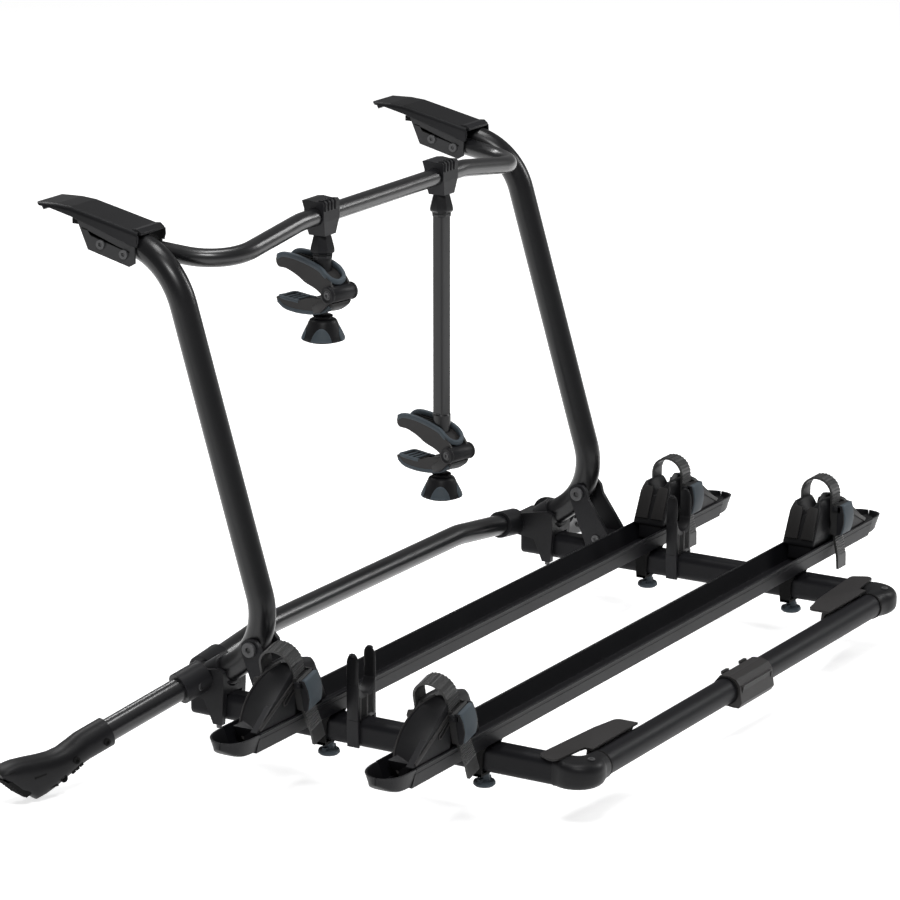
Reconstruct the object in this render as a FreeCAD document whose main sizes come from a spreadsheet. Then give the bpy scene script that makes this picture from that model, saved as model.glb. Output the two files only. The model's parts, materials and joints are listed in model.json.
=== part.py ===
import FreeCAD, Part
import math
import os
import re
import types

import Sketcher

# Van rear door bike carrier. Millimetres, +Z up, +Y towards the van, X across it.
# The origin is midway between the two top hooks, on the door edge that they hang from.

V = FreeCAD.Vector
doc = FreeCAD.newDocument("rear_door_bike_carrier")
sheet = doc.addObject("Spreadsheet::Sheet", "Sizes")

sizes = {
    # door frame: two bent uprights
    "frame_half": 375, "upright_od": 31.5, "upright_wall": 2, "rake": 16.8,
    "low_corner_y": -290.9, "low_corner_z": -466.3, "high_corner_z": -41.4,
    "low_bend": 78, "low_leg": 92, "low_leg_drop": 34.8,
    "high_bend": 88, "high_leg": 84, "high_leg_rise": 13, "toe_in": 14.5,
    # upper cross tube
    "cross_od": 21.5, "cross_wall": 1.8, "cross_y": -207, "cross_z": -27.4,
    "cross_flat_half": 181, "cross_turn_x_shift": -45, "cross_turn_z": -48,
    "cross_end_x_shift": -30, "cross_end_y": -112, "cross_end_z": -37.5,
    "cross_flat_bend": 139, "cross_turn_bend": 60,
    # lower cross tube
    "low_tube_od": 26, "low_tube_wall": 2, "low_tube_y": -180, "low_tube_z": -506,
    "low_flat_half": 215, "low_tube_drop": 20, "low_tube_end_shift": -21, "low_tube_bend": 160,
    # top hooks
    "hook_mid_shift": -17, "hook_width": 56, "hook_wall": 2.8, "hook_tip": 17, "hook_top": 9,
    "hook_slope": 17.5, "hook_rear": -119, "rim_depth": 6, "lip_depth": 6, "lip_thick": 6,
    "door_gap": 39, "skirt_break": -67, "skirt_rear": -26.3, "crown_round": 5,
    "plate_thick": 2, "plate_inset": 0.5, "plate_drop": 22, "plate_front": -40,
    "block_width": 46, "block_drop": 6.5,
    "hook_screw_front": -73, "hook_screw_rear": -104.4, "hook_screw_head": 5.5,
    "hook_screw_shank": 4, "screw_rise": 2.5,
    # clamp castings at the feet of the uprights
    "casting_width": 46, "casting_top": -506, "casting_front": -239, "casting_rear": -182,
    "tongue_bottom": -569, "tongue_width": 12, "ring_wall": 4.25, "ring_depth": 20,
    "sleeve_wall": 4, "sleeve_start_shift": -55, "fit_gap": 0.3, "run_gap": 0.05,
    # foot arms
    "arm_od": 27, "arm_wall": 2, "arm_x_shift": 28.7, "arm_y": -203, "arm_z": -518.5,
    "arm_reach_x": 205.5, "arm_reach_y": 80.4, "arm_reach_z": -66.7,
    "socket_wall": 5, "socket_back": 13, "socket_length": 22, "arm_back": 6,
    "shell_start": 126, "shell_grip": 36, "shell_length": 140, "shell_width": 38,
    "shell_sleeve": 60, "shell_wall": 4, "pad_width": 32,
    # fold pivot
    "pivot_y": -275, "pivot_z": -472, "bolt_radius": 5, "bolt_head": 8.5, "bolt_head_rise": 4,
    "cheek_thick": 5.4, "cheek_gap": 0.35, "bracket_base": 10, "bracket_back": -326,
    "boss_radius": 12, "cheek_skirt": 11,
    # platform beams
    "beam_width": 30, "beam_height": 32, "beam_wall": 2, "beam_round": 9, "beam_corner": 5,
    "beam_top": -534,
    "beam_front": -191, "beam_back": -670, "cap_thick": 2.5, "cap_plug": 12,
    # rear bar
    "bar_od": 30, "bar_wall": 2, "bar_y": -694.5, "bar_half_shift": -36, "elbow_out": 13,
    "elbow_back": 17.5, "elbow_round": 9,
    "sleeve_half": 41, "sleeve_skin": 3, "badge_drop": 19, "badge_rise": 8,
    # plate and light brackets on the rear bar
    "light_in_shift": -136, "light_out_shift": 25, "light_notch_shift": -32, "light_thick": 2.5,
    "light_flange": 12, "light_round": 8,
    # tube clips on the beams
    "clip_y": -409.5, "clip_length": 15, "clip_wall": 3, "clip_top": -455.4, "clip_skirt": 31,
    "clip_pocket": 7,
    # wheel trays
    "inner_tray_y": -366, "outer_tray_y": -569.6, "tray_bottom": -529.5, "tray_height": 22.5,
    "inner_tray_x": -9, "outer_tray_x": -3, "inner_tray_half": 542, "outer_tray_half": 556,
    "tray_top_width": 50, "tray_base_width": 39, "tray_wall": 2.2,
    "scoop_length": 42, "scoop_tip": 6.5, "rib_width": 7, "rib_rise": 1.6,
    "saddle_length": 30, "saddle_wall": 3, "saddle_floor": 4,
    # thumb knobs
    "stud_radius": 4, "knob_neck": 6, "knob_radius": 12.5, "knob_drop": 13.5,
    "knob_thick": 6, "knob_wing": 5,
    # wheel holders with their straps
    "inner_left_x": 466, "inner_right_x": 433, "outer_left_x": 474, "outer_right_x": 449,
    "holder_in": 56, "holder_crest_in": 35, "holder_crest_out": 9, "holder_out": 88,
    "left_holder_top": 83.5, "right_holder_top": 76, "holder_far_top": 70, "valley_floor": 66,
    "holder_width": 46, "holder_keel": 33, "holder_shoulder": 8.5,
    "hub_rise": 53.5, "left_lean": 15, "strap_width": 22, "strap_thick": 2.6,
    "strap_far": 19.5, "strap_near": 21.5, "strap_crown": 48, "strap_foot": 12,
    "left_tail_out": 33, "right_tail_out": 31, "tail_bend": 50, "tail_end": 67, "tooth_pitch": 3,
    "tooth_rise": 0.9,
    "buckle_width": 29, "buckle_top": 18, "buckle_bottom": 22, "buckle_depth": 10,
    "lever_width": 23, "lever_thick": 5, "lever_pin": 2.2, "lever_drop": 40,
    # bike arms
    "short_arm_x": -134, "long_arm_x": 132.5, "short_pivot_z": -122, "long_pivot_z": -377,
    "head_width": 34, "collar_radius": 12, "flare_radius": 14.5, "collar_top": -50,
    "flare_drop": 19, "collar_drop": 27, "spigot_radius": 7, "spigot_rise": 7,
    "arm_tube_radius": 10.5, "square_from": 50, "square_cut": 3.5, "arm_turn": 12.2,
    "barrel_back": 27, "barrel_rise": 6, "barrel_half": 20, "barrel_radius": 10, "pin_radius": 4,
    "jaw_width": 31, "jaw_reach": 63, "ball_rise": 31, "web_half": 5, "ear_thick": 3.4,
    "torque_neck": 8, "torque_top": -29, "torque_bottom": -54, "torque_radius": 26,
    "torque_shoulder": 16.5, "torque_stem": 6,
}
for row, (name, number) in enumerate(sizes.items(), 1):
    sheet.set(f"A{row}", name)
    sheet.set(f"B{row}", str(number))
    sheet.setAlias(f"B{row}", name)
doc.recompute()
s = types.SimpleNamespace(**{name: float(sheet.get(name)) for name in sizes})
nodes = []

# places across the carrier that keep their distance from the uprights: each is its shift from them
beside_uprights = ["cross_turn_x", "cross_end_x", "low_tube_end", "hook_mid", "sleeve_start", "arm_x",
                   "bar_half", "light_in", "light_out", "light_notch"]
for name in beside_uprights:
    setattr(s, name, s.frame_half + getattr(s, name + "_shift"))


def cell(name):
    """A size, or a place beside the uprights, as the sheet's cells give it."""
    if name in beside_uprights:
        return f"(Sizes.frame_half + Sizes.{name}_shift)"
    return "Sizes." + name if name in sizes else name


def rule(words):
    """The rule with each size in it named as a cell of the sheet."""
    return re.sub(r"[a-z]\w+", lambda match: cell(match[0]), str(words))


def new_body(label="", at=("0", "0", "0"), turn=None):
    body = doc.addObject("PartDesign::Body", "Body")
    body.Label = label or body.Name
    if turn:
        body.Placement = FreeCAD.Placement(V(), turn)
    for letter, place in zip("xyz", at):
        body.setExpression(".Placement.Base." + letter, rule(place))
    if label:
        nodes.append(body)
    return body


def new_sketch(body, plane, middle):
    sketch = body.newObject("Sketcher::SketchObject", "Outline")
    origin_plane = [item for item in body.Origin.OriginFeatures if item.Role == plane + "_Plane"][0]
    sketch.AttachmentSupport = [(origin_plane, "")]
    sketch.MapMode = "FlatFace"
    sign = "-" if plane == "XZ" else ""
    sketch.setExpression(".AttachmentOffset.Base.z", rule(f"{sign}({middle})"))
    return sketch


def outline(body, plane, points, middle="0"):
    """A closed outline of straight runs, each corner held by two rules."""
    sketch = new_sketch(body, plane, middle)
    count = len(points)
    for n in range(count):
        start = V(math.cos(6.28 * n / count), math.sin(6.28 * n / count), 0)
        end = V(math.cos(6.28 * (n + 1) / count), math.sin(6.28 * (n + 1) / count), 0)
        sketch.addGeometry(Part.LineSegment(start, end), False)
    for n in range(count):
        sketch.addConstraint(Sketcher.Constraint("Coincident", n, 2, (n + 1) % count, 1))
    for n, point in enumerate(points):
        for kind, place in zip(("DistanceX", "DistanceY"), point):
            held = sketch.addConstraint(Sketcher.Constraint(kind, -1, 1, n, 1, 1.0))
            sketch.setExpression(f"Constraints[{held}]", rule(place))
    return sketch


def ring(body, plane, centre, radius, middle="0"):
    """A circle, its centre and radius held by rules."""
    sketch = new_sketch(body, plane, middle)
    sketch.addGeometry(Part.Circle(V(), V(0, 0, 1), 1), False)
    for kind, place in zip(("DistanceX", "DistanceY"), centre):
        held = sketch.addConstraint(Sketcher.Constraint(kind, -1, 1, 0, 3, 1.0))
        sketch.setExpression(f"Constraints[{held}]", rule(place))
    held = sketch.addConstraint(Sketcher.Constraint("Radius", 0, 1.0))
    sketch.setExpression(f"Constraints[{held}]", rule(radius))
    return sketch


def extend(body, kind, sketch, length):
    feature = body.newObject("PartDesign::" + kind, kind)
    feature.Profile = sketch
    feature.SideType = "Symmetric"
    feature.setExpression("Length", rule(length))
    return feature


def pad(body, plane, points, length, middle="0"):
    return extend(body, "Pad", outline(body, plane, points, middle), length)


def pocket(body, plane, points, length, middle="0"):
    return extend(body, "Pocket", outline(body, plane, points, middle), length)


def round_pad(body, plane, centre, radius, length, middle="0"):
    return extend(body, "Pad", ring(body, plane, centre, radius, middle), length)


def round_hole(body, plane, centre, radius, length, middle="0"):
    return extend(body, "Pocket", ring(body, plane, centre, radius, middle), length)


def turned(body, points):
    """A solid of revolution about the body's own Z axis, from radius and height pairs."""
    feature = body.newObject("PartDesign::Revolution", "Turned")
    sketch = outline(body, "XZ", points)
    feature.Profile = sketch
    feature.ReferenceAxis = (sketch, ["V_Axis"])
    feature.Angle = 360
    body.Tip = feature
    return feature


def round_over(body, radius, wanted):
    """Round the edges of the body's last feature that the test picks."""
    doc.recompute()
    base = body.Tip
    names = [f"Edge{n}" for n, edge in enumerate(base.Shape.Edges, 1) if wanted(edge)]
    fillet = body.newObject("PartDesign::Fillet", "Round")
    fillet.Base = (base, names)
    fillet.setExpression("Radius", rule(radius))
    return fillet


def runs_along(edge, letter):
    return abs(getattr(edge.tangentAt(edge.FirstParameter), letter)) > 0.999


def mirrored(label, source, about="0"):
    """The same piece on the other side of the plane at x = about."""
    twin = doc.addObject("Part::Mirroring", "Mirrored")
    twin.Label = label or twin.Name
    twin.Source = source
    twin.Normal = V(1, 0, 0)
    twin.setExpression(".Base.x", rule(about))
    if label:
        nodes.append(twin)
    return twin


def group(label, pieces):
    compound = doc.addObject("Part::Compound", "Group")
    compound.Label = label
    compound.Links = pieces
    nodes.append(compound)
    return compound


def both_sides(label, *pieces, about="0"):
    return group(label, [*pieces, *[mirrored("", piece, about) for piece in pieces]])


def feature(label, shape):
    item = doc.addObject("Part::Feature", "Piece")
    item.Shape = shape
    item.Label = label or item.Name
    if label:
        nodes.append(item)
    return item


def bent_line(points, radii):
    """Straight runs joined by tangent arcs."""
    edges = []
    start = points[0]
    for before, corner, after, radius in zip(points, points[1:], points[2:], radii):
        back = (before - corner).normalize()
        ahead = (after - corner).normalize()
        half = back.getAngle(ahead) / 2
        reach = radius / math.tan(half)
        middle = corner + (back + ahead).normalize() * (radius / math.sin(half) - radius)
        edges.append(Part.LineSegment(start, corner + back * reach).toShape())
        edges.append(Part.Arc(corner + back * reach, middle, corner + ahead * reach).toShape())
        start = corner + ahead * reach
    edges.append(Part.LineSegment(start, points[-1]).toShape())
    return Part.Wire(edges)


def rod(points, radii, radius):
    line = bent_line(points, radii)
    heading = (points[1] - points[0]).normalize()
    circle = Part.Wire(Part.makeCircle(radius, points[0], heading))
    return line.makePipeShell([circle], True, False)


def tube(points, radii, outer, wall):
    return rod(points, radii, outer / 2).cut(rod(points, radii, outer / 2 - wall))


def slab(points, low, high):
    """A YZ outline carried along X from low to high."""
    corners = [V(low, y, z) for y, z in points]
    return Part.Face(Part.makePolygon(corners + corners[:1])).extrude(V(high - low, 0, 0))


def block(low, high):
    return Part.makeBox(high.x - low.x, high.y - low.y, high.z - low.z, low)


def socket_screw(place, heading, radius, rise, shank=0, depth=0):
    """A screw head with a hexagon socket, and a shank below it where one is asked for."""
    head = Part.makeCylinder(radius, rise, place, heading)
    across = radius * 0.45
    frame = FreeCAD.Placement(place + heading * (rise * 0.4), FreeCAD.Rotation(V(0, 0, 1), heading))
    corners = [frame.multVec(V(across * math.cos(n * math.pi / 3), across * math.sin(n * math.pi / 3), 0))
               for n in range(7)]
    head = head.cut(Part.Face(Part.makePolygon(corners)).extrude(heading * rise))
    if shank:
        head = head.fuse(Part.makeCylinder(shank, depth, place, heading * -1))
    return head


# lines that several pieces share
lean = math.tan(math.radians(s.rake))
drop = math.radians(s.low_leg_drop)
leg_heading = V(0, math.cos(drop), -math.sin(drop))
low_corner = V(s.frame_half, s.low_corner_y, s.low_corner_z)
low_end = low_corner + leg_heading * s.low_leg
high_corner = V(s.frame_half, s.low_corner_y + (s.high_corner_z - s.low_corner_z) * lean, s.high_corner_z)
rise = math.radians(s.high_leg_rise)
high_end = high_corner + V(-s.toe_in, math.cos(rise) * s.high_leg, math.sin(rise) * s.high_leg)
upright_line = ([low_end, low_corner, high_corner, high_end], [s.low_bend, s.high_bend])
arm_start = V(s.arm_x, s.arm_y, s.arm_z)
arm_heading = V(s.arm_reach_x, s.arm_reach_y, s.arm_reach_z).normalize()
pivot = V(s.frame_half, s.pivot_y, s.pivot_z)
beam_left = "frame_half - beam_width/2"
beam_right = "frame_half + beam_width/2"

# uprights, with the hole of the fold bolt through the lower bend
bolt_hole = Part.makeCylinder(s.bolt_radius + s.run_gap, 4 * s.upright_od,
                              pivot - V(2 * s.upright_od, 0, 0), V(1, 0, 0))
upright_shape = tube(*upright_line, s.upright_od, s.upright_wall)
upright = feature("upright_right", upright_shape.cut(bolt_hole))
mirrored("upright_left", upright)

# upper cross tube, its ends let in beside the uprights inside the hooks
cross_half = [V(s.cross_end_x, s.cross_end_y, s.cross_end_z),
              V(s.cross_turn_x, s.cross_y + 2, s.cross_turn_z),
              V(s.cross_flat_half, s.cross_y, s.cross_z)]
cross_line = cross_half + [V(-p.x, p.y, p.z) for p in reversed(cross_half)]
cross_bends = [s.cross_turn_bend, s.cross_flat_bend, s.cross_flat_bend, s.cross_turn_bend]
upright_room = rod(*upright_line, s.upright_od / 2 + s.fit_gap)
cross_tube = tube(cross_line, cross_bends, s.cross_od, s.cross_wall).cut(upright_room)
cross_tube = cross_tube.cut(upright_room.mirror(V(), V(1, 0, 0)))
feature("upper_cross_tube", cross_tube)

# lower cross tube, dropping a little to the castings
low_slope = s.low_tube_drop / (s.frame_half - s.low_flat_half)
low_half = [V(s.low_tube_end, s.low_tube_y, s.low_tube_z - (s.low_tube_end - s.low_flat_half) * low_slope),
            V(s.low_flat_half, s.low_tube_y, s.low_tube_z)]
low_line = low_half + [V(-p.x, p.y, p.z) for p in reversed(low_half)]
feature("lower_cross_tube", tube(low_line, [s.low_tube_bend] * 2, s.low_tube_od, s.low_tube_wall))

# clamp castings: a saddle over the beam end with two tongues, a ring round the upright, a sleeve
# round the cross tube and a socket for the foot arm
cheek = [(s.casting_rear, s.casting_top - 6), (s.casting_rear, s.casting_top - 32),
         (s.casting_rear - 30, s.casting_top - 35), (s.casting_front + 3 + s.tongue_width, s.tongue_bottom),
         (s.casting_front + 3, s.tongue_bottom), (s.casting_front, s.casting_top - 22),
         (s.casting_front, s.casting_top), (s.casting_front + 9, s.casting_top + 3)]
casting = slab(cheek, s.frame_half - s.casting_width / 2, s.frame_half + s.casting_width / 2)
ring_start = low_end - leg_heading * s.ring_depth
casting = casting.fuse(Part.makeCylinder(s.upright_od / 2 + s.ring_wall, s.ring_depth + 3, ring_start,
                                         leg_heading))
sleeve_heading = (low_half[0] - low_half[1]).normalize()
sleeve_from = low_half[1] + sleeve_heading * (s.sleeve_start - s.low_flat_half)
sleeve_length = s.low_tube_end + 3 - s.sleeve_start
sleeve_radius = s.low_tube_od / 2
casting = casting.fuse(Part.makeCylinder(sleeve_radius + s.sleeve_wall, sleeve_length, sleeve_from,
                                         sleeve_heading))
socket_from = arm_start - arm_heading * s.socket_back
socket_radius = s.arm_od / 2 + s.socket_wall
socket = Part.makeCylinder(socket_radius, s.socket_back + s.socket_length, socket_from, arm_heading)
inner_side = s.frame_half + s.casting_width / 2 - 6.5
socket = socket.cut(block(V(0, -400, -700), V(inner_side, 0, -400)))
casting = casting.fuse(socket)
beam_side = s.beam_width / 2 + 2 * s.fit_gap
casting = casting.cut(block(V(s.frame_half - beam_side, s.casting_front - 40, s.tongue_bottom - 20),
                            V(s.frame_half + beam_side, s.casting_rear + 40, s.beam_top + s.fit_gap)))
casting = casting.cut(rod([low_end + leg_heading * s.fit_gap, low_corner], [],
                          s.upright_od / 2 + s.run_gap))
casting = casting.cut(rod(low_half[:2], [], sleeve_radius + s.run_gap))
arm_bore_from = arm_start - arm_heading * (s.arm_back + 0.5)
casting = casting.cut(Part.makeCylinder(s.arm_od / 2 + s.run_gap, 60, arm_bore_from, arm_heading))
casting_right = feature("clamp_casting_right", casting.removeSplitter())
mirrored("clamp_casting_left", casting_right)

# foot arms, each in its own socket, with a plastic shell and a rubber pad at the end
arm_tail = arm_start - arm_heading * s.arm_back
arm_length = s.arm_back + s.shell_start + s.shell_grip
arm_shape = Part.makeCylinder(s.arm_od / 2, arm_length, arm_tail, arm_heading)
arm_shape = arm_shape.cut(Part.makeCylinder(s.arm_od / 2 - s.arm_wall, arm_length, arm_tail, arm_heading))
foot_arm = feature("foot_arm_right", arm_shape)
mirrored("foot_arm_left", foot_arm)

arm_up = (V(0, 0, 1) - arm_heading * arm_heading.z).normalize()
foot_turn = FreeCAD.Rotation(arm_heading, arm_up.cross(arm_heading), arm_up, "XZY")
foot_place = arm_start + arm_heading * s.shell_start


def foot_body(label=""):
    """A body whose X axis runs down the foot arm, from the start of the shell."""
    reach = "sqrt(arm_reach_x^2 + arm_reach_y^2 + arm_reach_z^2)"
    return new_body(label, [f"arm_{way} + shell_start*arm_reach_{way}/{reach}" for way in "xyz"], foot_turn)


shell = foot_body()
round_pad(shell, "YZ", ("0", "0"), "arm_od/2 + shell_wall", "shell_sleeve", "shell_sleeve/2")
pad(shell, "XZ", [("shell_grip", "15"), ("60", "10.5"), ("85", "14.5"), ("106", "22.5"),
                  ("shell_length - 8", "28.4"), ("shell_length + 3", "27"), ("shell_length + 4.5", "21.6"),
                  ("shell_length + 0.8", "15"), ("shell_length - 11", "13"), ("shell_length - 23", "-12"),
                  ("shell_length - 19.5", "-16"), ("shell_length - 21", "-22"),
                  ("shell_length - 29", "-26.7"),
                  ("shell_length - 41", "-26"), ("63", "-21"), ("shell_grip", "-16"),
                  ("shell_grip - 8", "-arm_od/2 + 4"), ("shell_grip - 8", "arm_od/2 - 4")], "shell_width")
round_hole(shell, "YZ", ("0", "0"), "arm_od/2 + run_gap", "2*shell_grip + 1")
screw_spots = [(11.0, -2.2), (54.0, -2.5)]
doc.recompute()
foot_screws = []
for along, height in screw_spots:
    side = s.arm_od / 2 + s.shell_wall if along < s.shell_grip else s.shell_width / 2
    frame = FreeCAD.Placement(foot_place, foot_turn)
    spot = frame.multVec(V(along, -side, height))
    heading = foot_turn.multVec(V(0, -1, 0))
    foot_screws.append(feature("", socket_screw(spot, heading, 4.2, 1.6)))
shell_group = group("foot_shell_right", [shell, *foot_screws])
mirrored("foot_shell_left", shell_group)

rubber = foot_body("foot_pad_right")
pad(rubber, "XZ", [("shell_length + 1.1", "14.5"), ("shell_length - 10.8", "12.7"),
                   ("shell_length - 22.6", "-11.9"), ("shell_length - 15", "-13"),
                   ("shell_length + 4.5", "19.5")],
    "pad_width")
mirrored("foot_pad_left", rubber)

# top hooks: a crowned cover with a turned down lip and a raised rear rim
cover = new_body("hook_cover_right")
pad(cover, "YZ", [("hook_tip", "hook_top"), ("hook_tip - 4.5", "5.5"),
                  ("0", "4.8"), ("-door_gap + 9", "-2"), ("skirt_break", "-12"),
                  ("hook_rear + 7", "skirt_rear"),
                  ("hook_rear - 3", "skirt_rear - 2.2"), ("hook_rear - 3", "hook_top - hook_slope - 3"),
                  ("skirt_break - 2", "hook_top - 9"), ("-30", "hook_top - 0.7"),
                  ("-11", "hook_top + 0.8")],
    "hook_width", "hook_mid")
round_over(cover, "crown_round", lambda edge: abs(edge.tangentAt(edge.FirstParameter).y) > 0.9
           and edge.CenterOfMass.z > 0.17 * edge.CenterOfMass.y + 5)
pocket(cover, "YZ", [("-door_gap - 3", "-45"), ("-door_gap - 3", "1.5"), ("skirt_break - 2", "-3.4"),
                     ("hook_rear - 10", "-14"), ("hook_rear - 10", "-45")], "hook_width - 2*hook_wall",
                     "hook_mid")
pad(cover, "YZ", [("hook_rear - 3", "hook_top - hook_slope - 6.6"),
                  ("hook_rear - rim_depth", "hook_top - hook_slope - 6.6"),
                  ("hook_rear - rim_depth", "hook_top - hook_slope - 4"),
                  ("hook_rear - 1", "hook_top - hook_slope"),
                  ("hook_rear + 6", "hook_top - hook_slope - 0.5"),
                  ("hook_rear + 6", "hook_top - hook_slope - 4")],
    "hook_width - 2*crown_round", "hook_mid")
pad(cover, "YZ", [("hook_tip - 1.5", "hook_top - 1.8"), ("hook_tip - lip_thick",
                                                         "hook_top - lip_depth - 3.5"),
                  ("hook_tip - lip_thick - 1.5", "hook_top - lip_depth - 2"),
                  ("hook_tip - 6.5", "hook_top - 2.5")],
    "hook_width - 2*crown_round - 4", "hook_mid")
mirrored("hook_cover_left", cover)

plates = []
for side in ("+", "-"):
    plate = new_body()
    mid = f"hook_mid {side} (hook_width/2 - plate_inset - plate_thick/2)"
    pad(plate, "YZ", [("plate_front", "-4.7 - fit_gap"), ("skirt_break", "-12 - fit_gap"),
                      ("hook_rear + 7", "skirt_rear - fit_gap"),
                      ("hook_rear", "skirt_rear - 1.6 - fit_gap"),
                      ("hook_rear", "skirt_rear - plate_drop + 1"),
                      ("hook_rear + 8", "skirt_rear - plate_drop - 3.5"),
                      ("plate_front - 14.5", "-38")], "plate_thick", mid)
    for along in ("hook_screw_front", "hook_screw_rear"):
        height = f"-30 + ({along} - hook_screw_front)*0.25"
        round_hole(plate, "YZ", (along, height), "hook_screw_shank + run_gap", "2*plate_thick", mid)
    plates.append(plate)
both_sides("hook_side_plates", *plates)

door_block = new_body()
pad(door_block, "YZ", [("-door_gap + 8.5", "-4.9"), ("-door_gap - 0.5", "-4.9"),
                       ("-door_gap - 0.5", "-4.9 - block_drop"), ("-door_gap + 8.5", "-4.9 - block_drop")],
    "block_width", "hook_mid")
both_sides("hook_door_blocks", door_block)

# platform beams: rounded box section, capped at the van end
beam = new_body("beam_right")
beam_rect = [(beam_left, "beam_top"), (beam_right, "beam_top"),
             (beam_right, "beam_top - beam_height"), (beam_left, "beam_top - beam_height")]
beam_length = "beam_front - beam_back"
beam_middle = "(beam_front + beam_back)/2"
pad(beam, "XZ", beam_rect, beam_length, beam_middle)
round_over(beam, "beam_round", lambda edge: runs_along(edge, "y"))


def beam_inside(inset, corner):
    """The beam's inner outline, set in from its faces, with cut corners."""
    left, right = f"{beam_left} + {inset}", f"{beam_right} - {inset}"
    high, low = f"beam_top - {inset}", f"beam_top - beam_height + {inset}"
    return [(left, f"{low} + {corner}"), (left, f"{high} - {corner}"), (f"{left} + {corner}", high),
            (f"{right} - {corner}", high), (right, f"{high} - {corner}"), (right, f"{low} + {corner}"),
            (f"{right} - {corner}", low), (f"{left} + {corner}", low)]


pocket(beam, "XZ", beam_inside("beam_wall", "beam_corner"), beam_length + " + 2", beam_middle)
mirrored("beam_left", beam)

end_cap = new_body()
pad(end_cap, "XZ", beam_rect, "cap_thick", "beam_front + cap_thick/2")
round_over(end_cap, "beam_round", lambda edge: runs_along(edge, "y"))
pad(end_cap, "XZ", beam_inside("(beam_wall + fit_gap)", "beam_corner"), "cap_plug",
    "beam_front - cap_plug/2")
both_sides("beam_end_caps", end_cap)

# corner elbows between the beams and the rear bar
elbow = new_body()
pad(elbow, "XY", [(beam_left, "beam_back"), (beam_left, "bar_y + bar_od/2 + 4"),
                  (beam_left + " - 5", "bar_y + bar_od/2 + 0.5"), ("bar_half", "bar_y + bar_od/2 + 0.5"),
                  ("bar_half", "bar_y - bar_od/2 - 0.5"), (beam_left + " + 4", "bar_y - bar_od/2 - 0.5"),
                  (beam_left + " + 14", "bar_y - elbow_back"), (beam_right, "bar_y - elbow_back + 2.5"),
                  (beam_right + " + elbow_out - 4", "bar_y - elbow_back/2"),
                  (beam_right + " + elbow_out", "bar_y + 4"),
                  (beam_right + " + elbow_out - 2", "bar_y + 14"),
                  (beam_right + " + 1", "beam_back")],
    "beam_height", "beam_top - beam_height/2")
round_over(elbow, "elbow_round", lambda edge: abs(edge.tangentAt(edge.FirstParameter).z) < 0.01 and not (
    abs(edge.CenterOfMass.y - s.beam_back) < 0.1 or abs(edge.CenterOfMass.x - s.bar_half) < 0.1)
    and (edge.CenterOfMass.x > s.frame_half or edge.CenterOfMass.y < s.bar_y))
both_sides("corner_elbows", elbow)

# rear bar and the bare badge sleeve at its middle
bar = doc.addObject("Part::Cylinder", "BarOuter")
bar_bore = doc.addObject("Part::Cylinder", "BarBore")
for cylinder, radius in ((bar, "bar_od/2"), (bar_bore, "bar_od/2 - bar_wall")):
    cylinder.Placement = FreeCAD.Placement(V(), FreeCAD.Rotation(V(0, 1, 0), 90))
    cylinder.setExpression("Radius", rule(radius))
    cylinder.setExpression("Height", rule("2*bar_half"))
    cylinder.setExpression(".Placement.Base.x", rule("-bar_half"))
    cylinder.setExpression(".Placement.Base.y", rule("bar_y"))
    cylinder.setExpression(".Placement.Base.z", rule("beam_top - beam_height/2"))
rear_bar = doc.addObject("Part::Cut", "RearBar")
rear_bar.Base = bar
rear_bar.Tool = bar_bore
rear_bar.Label = "rear_bar"
nodes.append(rear_bar)

badge = new_body("bar_sleeve", at=("0", "bar_y", "beam_top - beam_height/2"))
pad(badge, "YZ", [("8", "bar_od/2 + sleeve_skin - 1"), ("-4", "bar_od/2 + sleeve_skin"),
                  ("-13", "bar_od/2"), ("-bar_od/2 - sleeve_skin", "badge_rise"),
                  ("-bar_od/2 - sleeve_skin - 3", "-badge_drop + 6"),
                  ("-bar_od/2 - sleeve_skin + 1", "-badge_drop"),
                  ("-10", "-badge_drop"), ("10", "-bar_od/2 - sleeve_skin + 1"),
                  ("bar_od/2 + sleeve_skin - 1", "-8"), ("bar_od/2 + sleeve_skin", "4")], "2*sleeve_half")
round_hole(badge, "YZ", ("0", "0"), "bar_od/2 + run_gap", "2*sleeve_half + 2")

# plate and light brackets lying on the rear bar beside each corner
light = new_body()
light_low = "beam_top"
pad(light, "XY", [("light_in", "bar_y + 7"), ("light_notch", "bar_y + 7"), ("light_notch", "bar_y + 16"),
                  ("light_notch + 8", "bar_y + 18"), ("light_out", "bar_y + 23"),
                  ("light_out - 13", "bar_y + 49"),
                  ("light_in + 40", "bar_y + 41"), ("light_in", "bar_y + 34")],
    "light_thick", "beam_top + light_thick/2")
round_over(light, "light_round", lambda edge: runs_along(edge, "z") and edge.CenterOfMass.y > s.bar_y + 20)
pad(light, "YZ", [("bar_y + 8", "beam_top + light_thick"), ("bar_y + 8", "beam_top"),
                  ("bar_y + 12", "beam_top - 2.5"), ("bar_y + bar_od/2 + 0.3", "beam_top - light_flange"),
                  ("bar_y + bar_od/2 + 2.5", "beam_top - light_flange"), ("bar_y + 16", "beam_top"),
                  ("bar_y + 16", "beam_top + light_thick")],
    "bar_half - fit_gap - light_in", "(bar_half - fit_gap + light_in)/2")
both_sides("light_brackets", light)

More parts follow.
